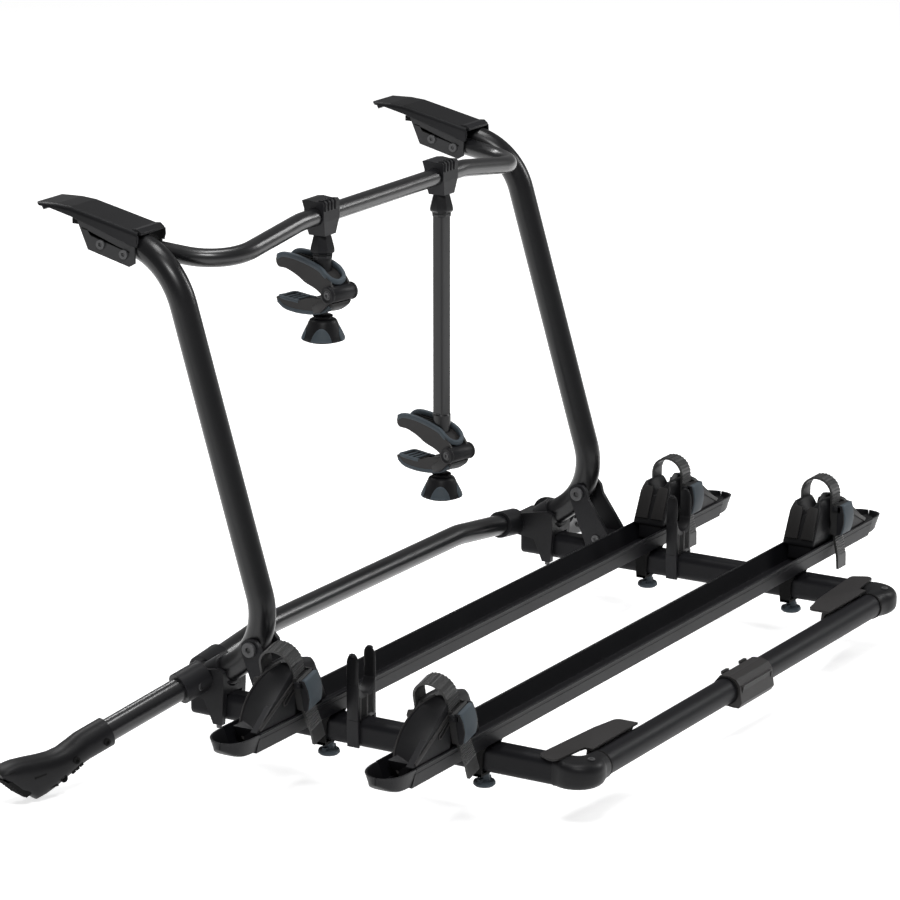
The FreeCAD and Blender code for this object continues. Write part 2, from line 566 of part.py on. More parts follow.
# fold brackets: two cheeks on each beam, hinged on the uprights by the fold bolt
bracket = new_body()
cheek_out = "upright_od/2 + cheek_gap + cheek_thick"
pad(bracket, "YZ", [("bracket_back", "beam_top - cheek_skirt"),
                    ("bracket_back + 36", "beam_top - cheek_skirt"),
                    ("pivot_y + boss_radius", "pivot_z - 6"), ("pivot_y + boss_radius", "pivot_z + 5"),
                    ("pivot_y + boss_radius/2", "pivot_z + boss_radius - 1"),
                    ("pivot_y - boss_radius/2", "pivot_z + boss_radius - 1"),
                    ("pivot_y - boss_radius", "pivot_z + 5"), ("pivot_y - boss_radius - 3", "pivot_z - 6"),
                    ("bracket_back", "beam_top + 5")],
    f"2*({cheek_out})", "frame_half")
pocket(bracket, "XZ", [("frame_half - upright_od/2 - cheek_gap", "beam_top + bracket_base"),
                       ("frame_half + upright_od/2 + cheek_gap", "beam_top + bracket_base"),
                       ("frame_half + upright_od/2 + cheek_gap", "pivot_z + 40"),
                       ("frame_half - upright_od/2 - cheek_gap", "pivot_z + 40")], "200", "pivot_y")
pocket(bracket, "XZ", [(beam_left, "beam_top"), (beam_right, "beam_top"),
                       (beam_right, "beam_top - 40"), (beam_left, "beam_top - 40")], "200", "pivot_y")
round_hole(bracket, "YZ", ("pivot_y", "pivot_z"), "bolt_radius + run_gap", "200", "frame_half")
both_sides("fold_brackets", bracket)

# tube clips on the beams: the folded frame's uprights rest in their forks
clip = new_body()
seat_drop = "(pivot_y - low_corner_y - (pivot_z - low_corner_z)*tan(rake))*cos(rake)"
clip_seat = f"(pivot_z - {seat_drop})"
seat_radius = "(upright_od/2 + cheek_gap)"
fork = f"({seat_radius} + clip_wall - 0.4)"
pad(clip, "XZ", [(beam_left + " - fit_gap - clip_wall", "beam_top - clip_skirt"),
                 (beam_left + " - fit_gap", "beam_top - clip_skirt"),
                 (beam_left + " - fit_gap", "beam_top"),
                 (beam_right + " + fit_gap", "beam_top"),
                 (beam_right + " + fit_gap", "beam_top - clip_skirt"),
                 (beam_right + " + fit_gap + clip_wall", "beam_top - clip_skirt"),
                 (f"frame_half + {fork}", clip_seat), (f"frame_half + {fork}", "clip_top"),
                 (f"frame_half + {seat_radius}", "clip_top"), (f"frame_half + {seat_radius}", clip_seat),
                 (f"frame_half - {seat_radius}", clip_seat), (f"frame_half - {seat_radius}", "clip_top"),
                 (f"frame_half - {fork}", "clip_top"), (f"frame_half - {fork}", clip_seat)],
    "clip_length", "clip_y")
round_hole(clip, "XZ", ("frame_half", clip_seat), seat_radius, "2*clip_length", "clip_y")
for side in ("+", "-"):
    centre = f"frame_half {side} 6.5"
    pocket(clip, "XZ", [(centre + " - 4.5", "beam_top + 3"), (centre + " + 4.5", "beam_top + 3"),
                        (centre + " + 4.5", f"{clip_seat} - {seat_radius} - 3"),
                        (centre + " - 4.5", f"{clip_seat} - {seat_radius} - 3")],
           "clip_pocket", "clip_y - clip_length/2 + clip_pocket/2")
both_sides("tube_clips", clip)

# wheel trays with scoops at both ends and saddles round the beams
for tray_name, tray_y in (("inner", "inner_tray_y"), ("outer", "outer_tray_y")):
    def section(inset="0"):
        top, base = "tray_top_width/2", "tray_base_width/2"
        high = "tray_bottom + tray_height"
        low = "tray_bottom + tray_wall"
        return [(f"{tray_y} - {top}", high), (f"{tray_y} - {base}", "tray_bottom"),
                (f"{tray_y} + {base}", "tray_bottom"), (f"{tray_y} + {top}", high),
                (f"{tray_y} + {top} - tray_wall", high), (f"{tray_y} + {base} - tray_wall", low),
                (f"{tray_y} + rib_width/2", low), (f"{tray_y} + rib_width/2", low + " + rib_rise"),
                (f"{tray_y} - rib_width/2", low + " + rib_rise"), (f"{tray_y} - rib_width/2", low),
                (f"{tray_y} - {base} + tray_wall", low), (f"{tray_y} - {top} + tray_wall", high)]

    tray_x, half = f"{tray_name}_tray_x", f"{tray_name}_tray_half"
    channel = new_body(f"{tray_name}_tray")
    pad(channel, "YZ", section(), "2*" + half, tray_x)

    scoop = new_body("", at=(f"{tray_x} + {half}", "0", "0"))
    pad(scoop, "YZ", section(), "scoop_length", "scoop_length/2")
    pad(scoop, "YZ", [(f"{tray_y} - tray_top_width/2", "tray_bottom + tray_height"),
                      (f"{tray_y} - tray_base_width/2", "tray_bottom"),
                      (f"{tray_y} + tray_base_width/2", "tray_bottom"),
                      (f"{tray_y} + tray_top_width/2", "tray_bottom + tray_height")],
        "tray_wall", "scoop_length - tray_wall/2")
    pocket(scoop, "XZ", [("1", "tray_bottom + tray_height"), ("0", "tray_bottom + 60"),
                         ("scoop_length + 5", "tray_bottom + 60"),
                         ("scoop_length + 5", "tray_bottom + scoop_tip - 2"),
                         ("scoop_length*0.6", "tray_bottom + scoop_tip + 7"),
                         ("scoop_length/4", "tray_bottom + tray_height - 2")], "2*tray_top_width", tray_y)
    for side in ("+", "-"):
        pocket(scoop, "XY", [("scoop_length*0.15", f"{tray_y} {side} tray_top_width"),
                             ("scoop_length*0.15", f"{tray_y} {side} tray_top_width/2"),
                             ("scoop_length*0.45", f"{tray_y} {side} tray_top_width*0.44"),
                             ("scoop_length*0.75", f"{tray_y} {side} tray_top_width*0.32"),
                             ("scoop_length*0.93", f"{tray_y} {side} tray_top_width*0.17"),
                             ("scoop_length + 1", f"{tray_y} {side} 3"),
                             ("scoop_length + 1", f"{tray_y} {side} tray_top_width")],
               "3*tray_height", "tray_bottom")
    both_sides(f"{tray_name}_tray_scoops", scoop, about=tray_x)

    saddle = new_body()
    beam_room = "fit_gap + 0.1"
    floor_z = f"beam_top - beam_height - {beam_room} - saddle_floor"
    pad(saddle, "XZ", [(f"{beam_left} - {beam_room} - saddle_wall", "tray_bottom"),
                       (f"{beam_right} + {beam_room} + saddle_wall", "tray_bottom"),
                       (f"{beam_right} + {beam_room} + saddle_wall", floor_z),
                       (f"{beam_left} - {beam_room} - saddle_wall", floor_z)], "saddle_length", tray_y)
    pocket(saddle, "XZ", [(f"{beam_left} - {beam_room}", f"beam_top + {beam_room}"),
                          (f"{beam_right} + {beam_room}", f"beam_top + {beam_room}"),
                          (f"{beam_right} + {beam_room}", f"beam_top - beam_height - {beam_room}"),
                          (f"{beam_left} - {beam_room}", f"beam_top - beam_height - {beam_room}")],
           "2*saddle_length", tray_y)
    round_hole(saddle, "XY", ("frame_half", tray_y), "stud_radius + run_gap", "3*saddle_floor",
               "beam_top - beam_height - saddle_floor/2")
    both_sides(f"{tray_name}_tray_saddles", saddle)

    # thumb knob below each saddle
    knob = new_body(f"{tray_name}_thumb_knob_right", at=("frame_half", tray_y, "beam_top - beam_height"))
    turned(knob, [("0", "-fit_gap - 0.1"), ("stud_radius", "-fit_gap - 0.1"),
                  ("stud_radius", "-2*fit_gap - 0.1 - saddle_floor"),
                  ("knob_neck", "-2*fit_gap - 0.1 - saddle_floor"),
                  ("knob_neck", "-knob_drop"), ("knob_radius - 1", "-knob_drop"),
                  ("knob_radius", "-knob_drop - 2"), ("knob_radius", "-knob_drop - knob_thick + 2"),
                  ("knob_radius - 2", "-knob_drop - knob_thick"), ("0", "-knob_drop - knob_thick")])
    pad(knob, "XZ", [("-knob_radius + 1", "-knob_drop"), ("-knob_radius + 2", "-knob_drop + 3.5"),
                     ("knob_radius - 2", "-knob_drop + 3.5"), ("knob_radius - 1", "-knob_drop")],
                     "knob_wing")
    mirrored(f"{tray_name}_thumb_knob_left", knob)

    # wheel holders straddling the tray, each at its own place along it
    rim = "tray_height + fit_gap"
    floor = "tray_wall + rib_rise + fit_gap"
    for hand, sign, lean in (("left", "-", -s.left_lean), ("right", "", 0)):
        place = f"{sign}{tray_name}_{hand}_x"
        crest = f"{hand}_holder_top"
        slant = f"({math.tan(math.radians(lean)):.5f})"
        holder = new_body(f"{tray_name}_wheel_holder_{hand}", at=(place, tray_y, "tray_bottom"))

        def outward(*points):
            return [(f"{sign}({across})", up) for across, up in points]

        pad(holder, "XZ", outward(("-holder_in", rim), ("-holder_crest_in", crest + " - 10"),
                                  ("-holder_crest_in + 10", crest), ("holder_crest_out", crest),
                                  ("holder_crest_out + 8", crest + " - 8"), ("holder_out", rim)),
                                  "holder_width")
        pad(holder, "XZ", outward(("-holder_in + 2", floor), ("-holder_in + 2", rim + " + 1"),
                                  ("holder_out - 6", rim + " + 1"), ("holder_out - 12", floor)),
                                  "holder_keel")
        for way, start, narrow in (("+", "45", "6"), ("-", "66", "10")):
            pocket(holder, "XY", outward((start, f"{way} (holder_width/2 + 5)"),
                                         (start, f"{way} holder_width/2"),
                                         ("holder_out", f"{way} {narrow}"),
                                         ("holder_out + 5", f"{way} {narrow}"),
                                         ("holder_out + 5", f"{way} (holder_width/2 + 5)")), f"4*{crest}")
        pocket(holder, "YZ", [("-11", crest + " + 1"), ("-5", "valley_floor"), ("4", "holder_far_top"),
                              ("holder_width/2 + 1", "holder_far_top"),
                              ("holder_width/2 + 1", crest + " + 1")],
               "6*holder_in")
        pocket(holder, "YZ", [("-holder_width/2 - 1", crest + " + 1"),
                              ("-holder_width/2 - 1", crest + " - holder_shoulder"),
                              ("-12", crest + " + 1")],
               "6*holder_in")
        pocket(holder, "XZ", outward(("24", "58"), ("60", "tray_height + 8"), ("24", "tray_height + 8")),
               "16", "-holder_width/2")

        def strap_slot(bottom, depth, middle):
            """A slot for the strap, leaning with it."""
            half = "strap_width/2 + 0.9"
            high = crest + " + 5"
            pocket(holder, "XZ", [(f"-({half}) + ({bottom} - hub_rise)*{slant}", bottom),
                                  (f"{half} + ({bottom} - hub_rise)*{slant}", bottom),
                                  (f"{half} + ({high} - hub_rise)*{slant}", high),
                                  (f"-({half}) + ({high} - hub_rise)*{slant}", high)], depth, middle)

        strap_slot("hub_rise - strap_foot - strap_width*0.15 - 1", "strap_thick + 2*fit_gap", "strap_far")
        strap_slot(rim + " - 1", "6", "-strap_near - 1")

        # ribbed strap: out of the holder, over in a loop, through the buckle and down as a tail
        hub = (place, tray_y, "tray_bottom + hub_rise")
        turn = FreeCAD.Rotation(V(0, 1, 0), lean)
        radius = (s.strap_far + s.strap_near) / 2
        middle = (s.strap_far - s.strap_near) / 2
        bend = s.strap_crown - s.strap_thick / 2 - radius
        path = [(V(0, s.strap_far, -s.strap_foot), V(0, 1, 0)), (V(0, s.strap_far, bend), V(0, 1, 0))]
        turns = 30
        for n in range(1, turns):
            angle = math.pi * n / turns
            away = V(0, math.cos(angle), math.sin(angle))
            path.append((V(0, middle, bend) + away * radius, away))
        straight = int(bend / s.tooth_pitch * 2)
        tail_out = float(sheet.get(f"{hand}_tail_out"))
        slope = V(0, s.strap_near - tail_out, -s.tail_bend)
        steps = int(slope.Length / s.tooth_pitch * 2)
        for n in range(straight + 1):
            path.append((V(0, -s.strap_near, bend * (1 - n / straight)), V(0, -1, 0)))
        for n in range(1, steps + 1):
            path.append((V(0, -s.strap_near, 0) + slope * (n / steps), V(0, -1, 0.2)))
        path.append((V(0, -tail_out - 1, -s.tail_end), V(0, -1, 0)))
        outer, inner = [], []
        for n, (point, away) in enumerate(path):
            away = V(away).normalize()
            lift = s.tooth_rise if n > turns * 0.4 and n % 2 else 0
            outer.append(point + away * (s.strap_thick / 2 + lift))
            inner.append(point - away * (s.strap_thick / 2))
        ribbon = outer + inner[::-1]
        corners = [point - V(s.strap_width / 2, 0, 0) for point in ribbon + ribbon[:1]]
        ribbed = Part.Face(Part.makePolygon(corners)).extrude(V(s.strap_width, 0, 0))
        across = float(sheet.get(f"{tray_name}_{hand}_x")) * (-1 if sign else 1)
        centre = V(across, float(sheet.get(tray_y)), s.tray_bottom + s.hub_rise)
        band = feature("", ribbed)
        band.Placement = FreeCAD.Placement(centre, turn)

        # buckle frame on the near side of the strap
        buckle = new_body("", at=hub, turn=turn)
        back = "-holder_width/2 - fit_gap"
        for way in ("+", "-"):
            pad(buckle, "XZ", [(f"{way} buckle_width/2", "-buckle_bottom"),
                               (f"{way} buckle_width/2", "buckle_top - 6"),
                               (f"{way} (buckle_width/2 - 1)", "buckle_top"),
                               (f"{way} (strap_width/2 + fit_gap)", "buckle_top"),
                               (f"{way} (strap_width/2 + fit_gap)", "-buckle_bottom")],
                "buckle_depth", back + " - buckle_depth/2")
        # its crossbar, and a front edge cut back so that the lever's top can turn over it
        turned_edge = [(back + " - buckle_depth + 5", "buckle_top - 2"),
                       (back + " - buckle_depth + 1.5", "buckle_top - 3"),
                       (back + " - buckle_depth", "buckle_top - 5.2")]
        pad(buckle, "YZ", [(back + " - buckle_depth", "buckle_top - 12"),
                           (back + " - 2.5", "buckle_top - 12"),
                           (back + " - 2.5", "buckle_top - 2")] + turned_edge, "buckle_width")
        pocket(buckle, "YZ", turned_edge + [(back + " - buckle_depth - 1", "buckle_top - 5.2"),
                                            (back + " - buckle_depth - 1", "buckle_top + 1"),
                                            (back + " - buckle_depth + 5", "buckle_top + 1")],
               "2*buckle_width")
        round_hole(buckle, "YZ", (back + " - buckle_depth + 4", "buckle_top - 6"), "lever_pin + run_gap",
                   "2*buckle_width")
        group(f"{tray_name}_wheel_strap_{hand}", [band, buckle])

        # ratchet lever with its grey pad
        lever = new_body(f"{tray_name}_buckle_lever_{hand}", at=hub, turn=turn)
        pin = back + " - buckle_depth + 4"
        face = back + " - buckle_depth - 0.3"
        round_pad(lever, "YZ", (pin, "buckle_top - 6"), "lever_pin", "buckle_width + 2*fit_gap + 2")
        pad(lever, "YZ", [(face, "buckle_top - 2"), (face, "buckle_top - lever_drop"),
                          (f"{face} - lever_thick", "buckle_top - lever_drop + 2"),
                          (f"{face} - lever_thick - 1.5", "buckle_top - lever_drop + 14"),
                          (f"{face} - lever_thick - 1", "buckle_top - 14"),
                          (f"{face} - lever_thick*0.6", "buckle_top - 2")], "lever_width")
        pad(lever, "YZ", [(face, "buckle_top - 9.2"), (face, "buckle_top - 2.8"),
                          (f"{face} - lever_thick*0.5", "buckle_top - 2.8"),
                          (f"{face} - lever_thick*0.5", "buckle_top - 9.2")],
                          "buckle_width + 2*fit_gap + 4")
        for way in ("+", "-"):
            pad(lever, "YZ", [(pin + " + 3.2", "buckle_top - 9.2"), (pin + " + 3.2", "buckle_top - 2.8"),
                              (f"{face} - lever_thick*0.5", "buckle_top - 2.8"),
                              (f"{face} - lever_thick*0.5", "buckle_top - 9.2")],
                "2", f"{way} (buckle_width/2 + fit_gap + 1)")

# bike arms: a head on the cross tube, a swivelling tube, two jaws and a torque knob
for arm, arm_x, pivot_height in (("short", "short_arm_x", "short_pivot_z"),
                                 ("long", "long_arm_x", "long_pivot_z")):
    head = new_body(f"{arm}_arm_head", at=(arm_x, "cross_y", "cross_z"))
    foot = "collar_top - cross_z"
    pad(head, "YZ", [("-collar_radius - 1", "16.5"), ("-collar_radius + 1", "19"), ("-2", "18.2"),
                     ("9", "19.5"), ("collar_radius + 5", "18.5"), ("collar_radius + 2", "9"),
                     ("collar_radius + 1.5", "-8"), ("collar_radius - 1", foot),
                     ("-collar_radius + 1", foot), ("-collar_radius - 1", "-5")], "head_width")
    for side in ("+", "-"):
        pocket(head, "XZ", [(f"{side} head_width", "-3"), (f"{side} head_width/2", "-3"),
                            (f"{side} (collar_radius - 0.5)", foot + " - 1"),
                            (f"{side} head_width", foot + " - 1")], "100")
    round_hole(head, "YZ", ("0", "0"), "cross_od/2 + run_gap", "2*head_width")
    round_hole(head, "XY", ("0", "0"), "spigot_radius + run_gap", "2*(spigot_rise + fit_gap)",
               "collar_top - cross_z")

    turn = FreeCAD.Rotation(V(0, 0, 1), -s.arm_turn)
    arm_at = (arm_x, "cross_y", pivot_height)
    top = f"(collar_top - {pivot_height} - fit_gap)"
    shaft = new_body(f"{arm}_arm_tube", at=arm_at, turn=turn)
    core = "arm_tube_radius - 1" if arm == "long" else "arm_tube_radius"
    turned(shaft, [("0", f"{top} + spigot_rise"), ("spigot_radius", f"{top} + spigot_rise"),
                   ("spigot_radius", top), ("collar_radius", top),
                   ("collar_radius + 0.8", f"{top} - flare_drop/2"),
                   ("flare_radius", f"{top} - flare_drop + 2"),
                   ("flare_radius - 0.5", f"{top} - flare_drop"),
                   ("flare_radius - 2", f"{top} - collar_drop"),
                   (core, f"{top} - collar_drop"),
                   (core, "ball_rise + 8"), ("arm_tube_radius", "ball_rise + 4"),
                   ("arm_tube_radius + 1", "ball_rise"),
                   ("arm_tube_radius - 1", "ball_rise - 6"), ("web_half", "ball_rise - 11"),
                   ("0", "ball_rise - 11")])
    pad(shaft, "YZ", [("-barrel_back - 4", "barrel_rise + 4"), ("-barrel_back - 4", "barrel_rise - 4"),
                      ("-barrel_back + 5", "barrel_rise - 4"), ("2", "ball_rise - 11"),
                      ("6", "ball_rise - 2"),
                      ("-6", "ball_rise")], "2*web_half")
    round_pad(shaft, "YZ", ("-barrel_back", "barrel_rise"), "pin_radius", "2*barrel_half")
    if arm == "long":
        flat, cut = "arm_tube_radius", "(arm_tube_radius - square_cut)"
        pad(shaft, "XY", [(f"-{flat}", f"-{cut}"), (f"-{cut}", f"-{flat}"), (cut, f"-{flat}"),
                          (flat, f"-{cut}"), (flat, cut), (cut, flat), (f"-{cut}", flat),
                          (f"-{flat}", cut)],
            f"{top} - collar_drop - square_from", f"({top} - collar_drop + square_from)/2")

    upper = new_body(f"{arm}_arm_upper_jaw", at=arm_at, turn=turn)
    pad(upper, "YZ", [("jaw_reach", "32"), ("jaw_reach - 5", "26"), ("44", "26.5"), ("27", "21"),
                      ("14", "14.5"),
                      ("-3", "11"), ("-barrel_back + barrel_radius", "barrel_rise - 1"),
                      ("-barrel_back + 7", "barrel_rise - 7"),
                      ("-barrel_back", "barrel_rise - barrel_radius"),
                      ("-barrel_back - 7", "barrel_rise - 7"),
                      ("-barrel_back - barrel_radius + 1", "barrel_rise"),
                      ("-barrel_back + 1", "22"), ("-18", "30"), ("-9", "36"), ("10", "40.5"), ("32", "44"),
                      ("52", "44.5"), ("jaw_reach - 3", "39")], "jaw_width")
    pocket(upper, "YZ", [("-barrel_back - 20", "barrel_rise - 20"), ("15.5", "barrel_rise - 20"),
                         ("15.5", "60"),
                         ("-barrel_back - 20", "60")], "2*(web_half + fit_gap)")
    round_hole(upper, "XY", ("0", "0"), "arm_tube_radius + 1 + fit_gap", "120", "60 + ball_rise - 11.5")
    round_hole(upper, "YZ", ("-barrel_back", "barrel_rise"), "pin_radius + run_gap", "3*jaw_width")

    lower = new_body(f"{arm}_arm_lower_jaw", at=arm_at, turn=turn)
    pad(lower, "YZ", [("jaw_reach - 1", "-9"), ("jaw_reach - 6", "-16"), ("52", "-22.6"), ("24", "-23.6"),
                      ("-3", "-20.5"), ("-24", "-14"),
                      ("-barrel_back", "barrel_rise - barrel_radius - 2.5"),
                      ("-barrel_back + 10", "barrel_rise - barrel_radius"), ("-6", "-1.5"), ("10", "-3"),
                      ("33", "-10.5"), ("50", "-9.5")], "jaw_width")
    for side in ("+", "-"):
        ear_middle = f"{side}(jaw_width/2 + fit_gap + ear_thick/2)"
        pad(lower, "YZ", [("-barrel_back - 6", "barrel_rise + 7"), ("-barrel_back + 6", "barrel_rise + 7"),
                          ("-barrel_back + 9", "barrel_rise"), ("-2", "-9"), ("-3", "-19"), ("-23", "-13"),
                          ("-barrel_back - 9", "barrel_rise")], "ear_thick", ear_middle)
        pad(lower, "YZ", [("-23", "-13"), ("-barrel_back + 2", "-8.5"), ("-6", "-9"), ("-3", "-19")],
            "2*(ear_thick + 1)", f"{side}(jaw_width/2)")
        round_hole(lower, "YZ", ("-barrel_back", "barrel_rise"), "pin_radius + run_gap", "2*ear_thick",
                   ear_middle)
    round_hole(lower, "XY", ("0", "0"), "torque_stem + run_gap", "16", "-24")

    torque = new_body(f"{arm}_arm_torque_knob", at=arm_at, turn=turn)
    turned(torque, [("0", "-17"), ("torque_stem", "-17"), ("torque_stem", "-24.5"),
                    ("torque_neck", "-24.5"),
                    ("torque_neck + 3", "torque_top"), ("torque_shoulder", "torque_top - 1"),
                    ("torque_shoulder + 4", "torque_top - 8"), ("torque_radius - 2", "torque_top - 20"),
                    ("torque_radius", "torque_bottom + 5"), ("torque_radius - 1.5", "torque_bottom"),
                    ("0", "torque_bottom")])

# fasteners, in groups of separate screws
frame_screws = []
plate_face = s.hook_mid + s.hook_width / 2 - s.plate_inset
inner_face = s.hook_mid - s.hook_width / 2 + s.plate_inset
for along in (s.hook_screw_front, s.hook_screw_rear):
    height = -30 + (along - s.hook_screw_front) * 0.25
    for face, way in ((plate_face, 1), (inner_face, -1)):
        frame_screws.append(socket_screw(V(face, along, height), V(way, 0, 0), s.hook_screw_head,
                                         s.screw_rise,
                                         s.hook_screw_shank, s.plate_thick))
tongue_middle = (s.casting_width / 2 + beam_side) / 2
for way in (1, -1):
    foot = V(s.frame_half + way * tongue_middle, s.casting_front + 3 + s.tongue_width / 2, s.tongue_bottom)
    frame_screws.append(socket_screw(foot, V(0, 0, -1), 3.2, 4))
collar_spot = arm_start + arm_heading * 9 + V(0, -socket_radius - 0.7, 0)
collar_head = Part.makeCylinder(5, 3.4, collar_spot + V(0, 3.4, 0), V(0, -1, 0))
collar_head = collar_head.cut(Part.makeCylinder(socket_radius + s.run_gap, 80,
                                                arm_start - arm_heading * 20, arm_heading))
frame_screws.append(collar_head)
both_sides("frame_screws", *[feature("", shape) for shape in frame_screws])

cheek_face = s.upright_od / 2 + s.cheek_gap + s.cheek_thick
bolt = Part.makeCylinder(s.bolt_radius, 2 * (cheek_face + s.fit_gap),
                         pivot - V(cheek_face + s.fit_gap, 0, 0), V(1, 0, 0))
for way in (1, -1):
    head_place = pivot + V(way * (cheek_face + s.fit_gap), 0, 0)
    bolt = bolt.fuse(socket_screw(head_place, V(way, 0, 0), s.bolt_head, s.bolt_head_rise))
both_sides("fold_bolts", feature("", bolt.removeSplitter()))

platform_screws = []
for way in (1, -1):
    spot_place = V(s.frame_half + way * cheek_face, s.bracket_back + 24, s.beam_top + 6)
    platform_screws.append(socket_screw(spot_place, V(way, 0, 0), 5.2, 2.2))
platform_screws.append(socket_screw(V(s.frame_half - 7, s.bar_y - 6, s.beam_top), V(0, 0, 1), 4, 1.2))
both_sides("platform_screws", *[feature("", shape) for shape in platform_screws])

doc.recompute()
failed = [f"{item.Name} ({item.Label}): {item.State}" for item in doc.Objects
          if "Invalid" in item.State or "Error" in item.State]
if failed:
    raise SystemExit("\n".join(failed))
broken = [node.Label for node in nodes
          if node.Shape.isNull() or not node.Shape.isValid() or not node.Shape.Solids]
if broken:
    raise SystemExit("no valid solid: " + ", ".join(broken))

os.makedirs("parts", exist_ok=True)
for node in nodes:
    node.Shape.exportStep(f"parts/{node.Label}.step")
print(len(nodes), "nodes written")
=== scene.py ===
import json
import math

import bmesh
import bpy
from mathutils import Matrix, Vector


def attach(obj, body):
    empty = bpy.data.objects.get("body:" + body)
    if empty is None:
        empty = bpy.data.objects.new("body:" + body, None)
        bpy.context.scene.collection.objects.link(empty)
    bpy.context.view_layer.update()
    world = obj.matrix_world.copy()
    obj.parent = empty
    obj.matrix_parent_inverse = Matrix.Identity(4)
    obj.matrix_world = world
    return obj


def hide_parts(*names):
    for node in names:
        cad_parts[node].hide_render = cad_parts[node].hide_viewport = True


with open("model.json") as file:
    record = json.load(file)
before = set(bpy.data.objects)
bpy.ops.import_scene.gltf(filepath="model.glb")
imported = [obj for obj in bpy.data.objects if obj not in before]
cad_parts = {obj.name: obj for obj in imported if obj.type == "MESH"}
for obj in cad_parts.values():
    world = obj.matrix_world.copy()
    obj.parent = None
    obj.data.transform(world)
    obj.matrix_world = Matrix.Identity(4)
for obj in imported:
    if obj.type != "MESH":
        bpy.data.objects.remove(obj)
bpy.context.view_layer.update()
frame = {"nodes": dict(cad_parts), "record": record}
nodes = frame["nodes"]
slotOf = {part["node"]: part["material_slot"] for part in frame["record"]["subparts"]}
print("frame loaded:", len(nodes), "nodes")

# finishes, by the record's slot, with one column for each key
# the edge column sets how strongly sharp edges get a painted highlight
finishKeys = ("colour", "rough", "spread", "grain", "bump", "gloss", "coat", "edge", "round")
finishRows = {
    "tube_black": ((0.007, 0.007, 0.008), 0.33, 0.03, 300, 0.0, 0.5, 0.35, 0.2, 0.0008),
    "upright_black": ((0.006, 0.006, 0.007), 0.33, 0.04, 700, 0.02, 0.36, 0.12, 0.2, 0.0008),
    "beam_black": ((0.005, 0.005, 0.006), 0.46, 0.08, 1400, 0.12, 0.16, 0.0, 0.6, 0.0008),
    "tray_black": ((0.005, 0.005, 0.006), 0.46, 0.08, 1100, 0.08, 0.16, 0.0, 0.5, 0.0008),
    "plate_grey": ((0.022, 0.022, 0.023), 0.40, 0.08, 900, 0.08, 0.30, 0.0, 0.5, 0.0008),
    "plastic_black": ((0.008, 0.008, 0.009), 0.44, 0.10, 1600, 0.16, 0.20, 0.0, 0.9, 0.0008),
    "plastic_dark_grey": ((0.019, 0.018, 0.018), 0.46, 0.10, 1600, 0.18, 0.22, 0.0, 0.9, 0.0008),
    "plastic_blue_grey": ((0.058, 0.073, 0.086), 0.55, 0.08, 1900, 0.18, 0.25, 0.0, 0.6, 0.0008),
    "strap_black": ((0.008, 0.008, 0.008), 0.40, 0.08, 1300, 0.10, 0.36, 0.0, 3.0, 0.0001),
    "rubber_black": ((0.005, 0.005, 0.005), 0.72, 0.08, 1200, 0.30, 0.12, 0.0, 0.7, 0.0008),
    "screw_dark": ((0.050, 0.050, 0.052), 0.33, 0.10, 900, 0.06, 0.5, 0.0, 0.6, 0.0008),
}
# the pointiness range and lift given after grainDetail paint a highlight onto sharp edges
skinSizes = dict(patchScale=14, patchDetail=4, grainDetail=3, highlightFrom=0.52, highlightTo=0.64,
                 highlightLift=1.1, mottle=0.5, grainHeight=0.0002)
shaderSizes = dict(edgeSamples=4, coatRough=0.18)


def addSocket(group, name, way, kind, value=None):
    socket = group.interface.new_socket(name=name, in_out=way, socket_type="NodeSocket" + kind)
    if value is not None:
        socket.default_value = value


def mathNode(group, operation, **values):
    # a maths node with its constants, given as first, second and third
    node = group.nodes.new("ShaderNodeMath")
    node.operation = operation
    for place, name in enumerate(("first", "second", "third")):
        if name in values:
            node.inputs[place].default_value = values[name]
    return node


def connect(tree, *wires):
    # each wire runs from one node's output to another node's input
    for source, output, target, entry in wires:
        tree.links.new(source.outputs[output], target.inputs[entry])


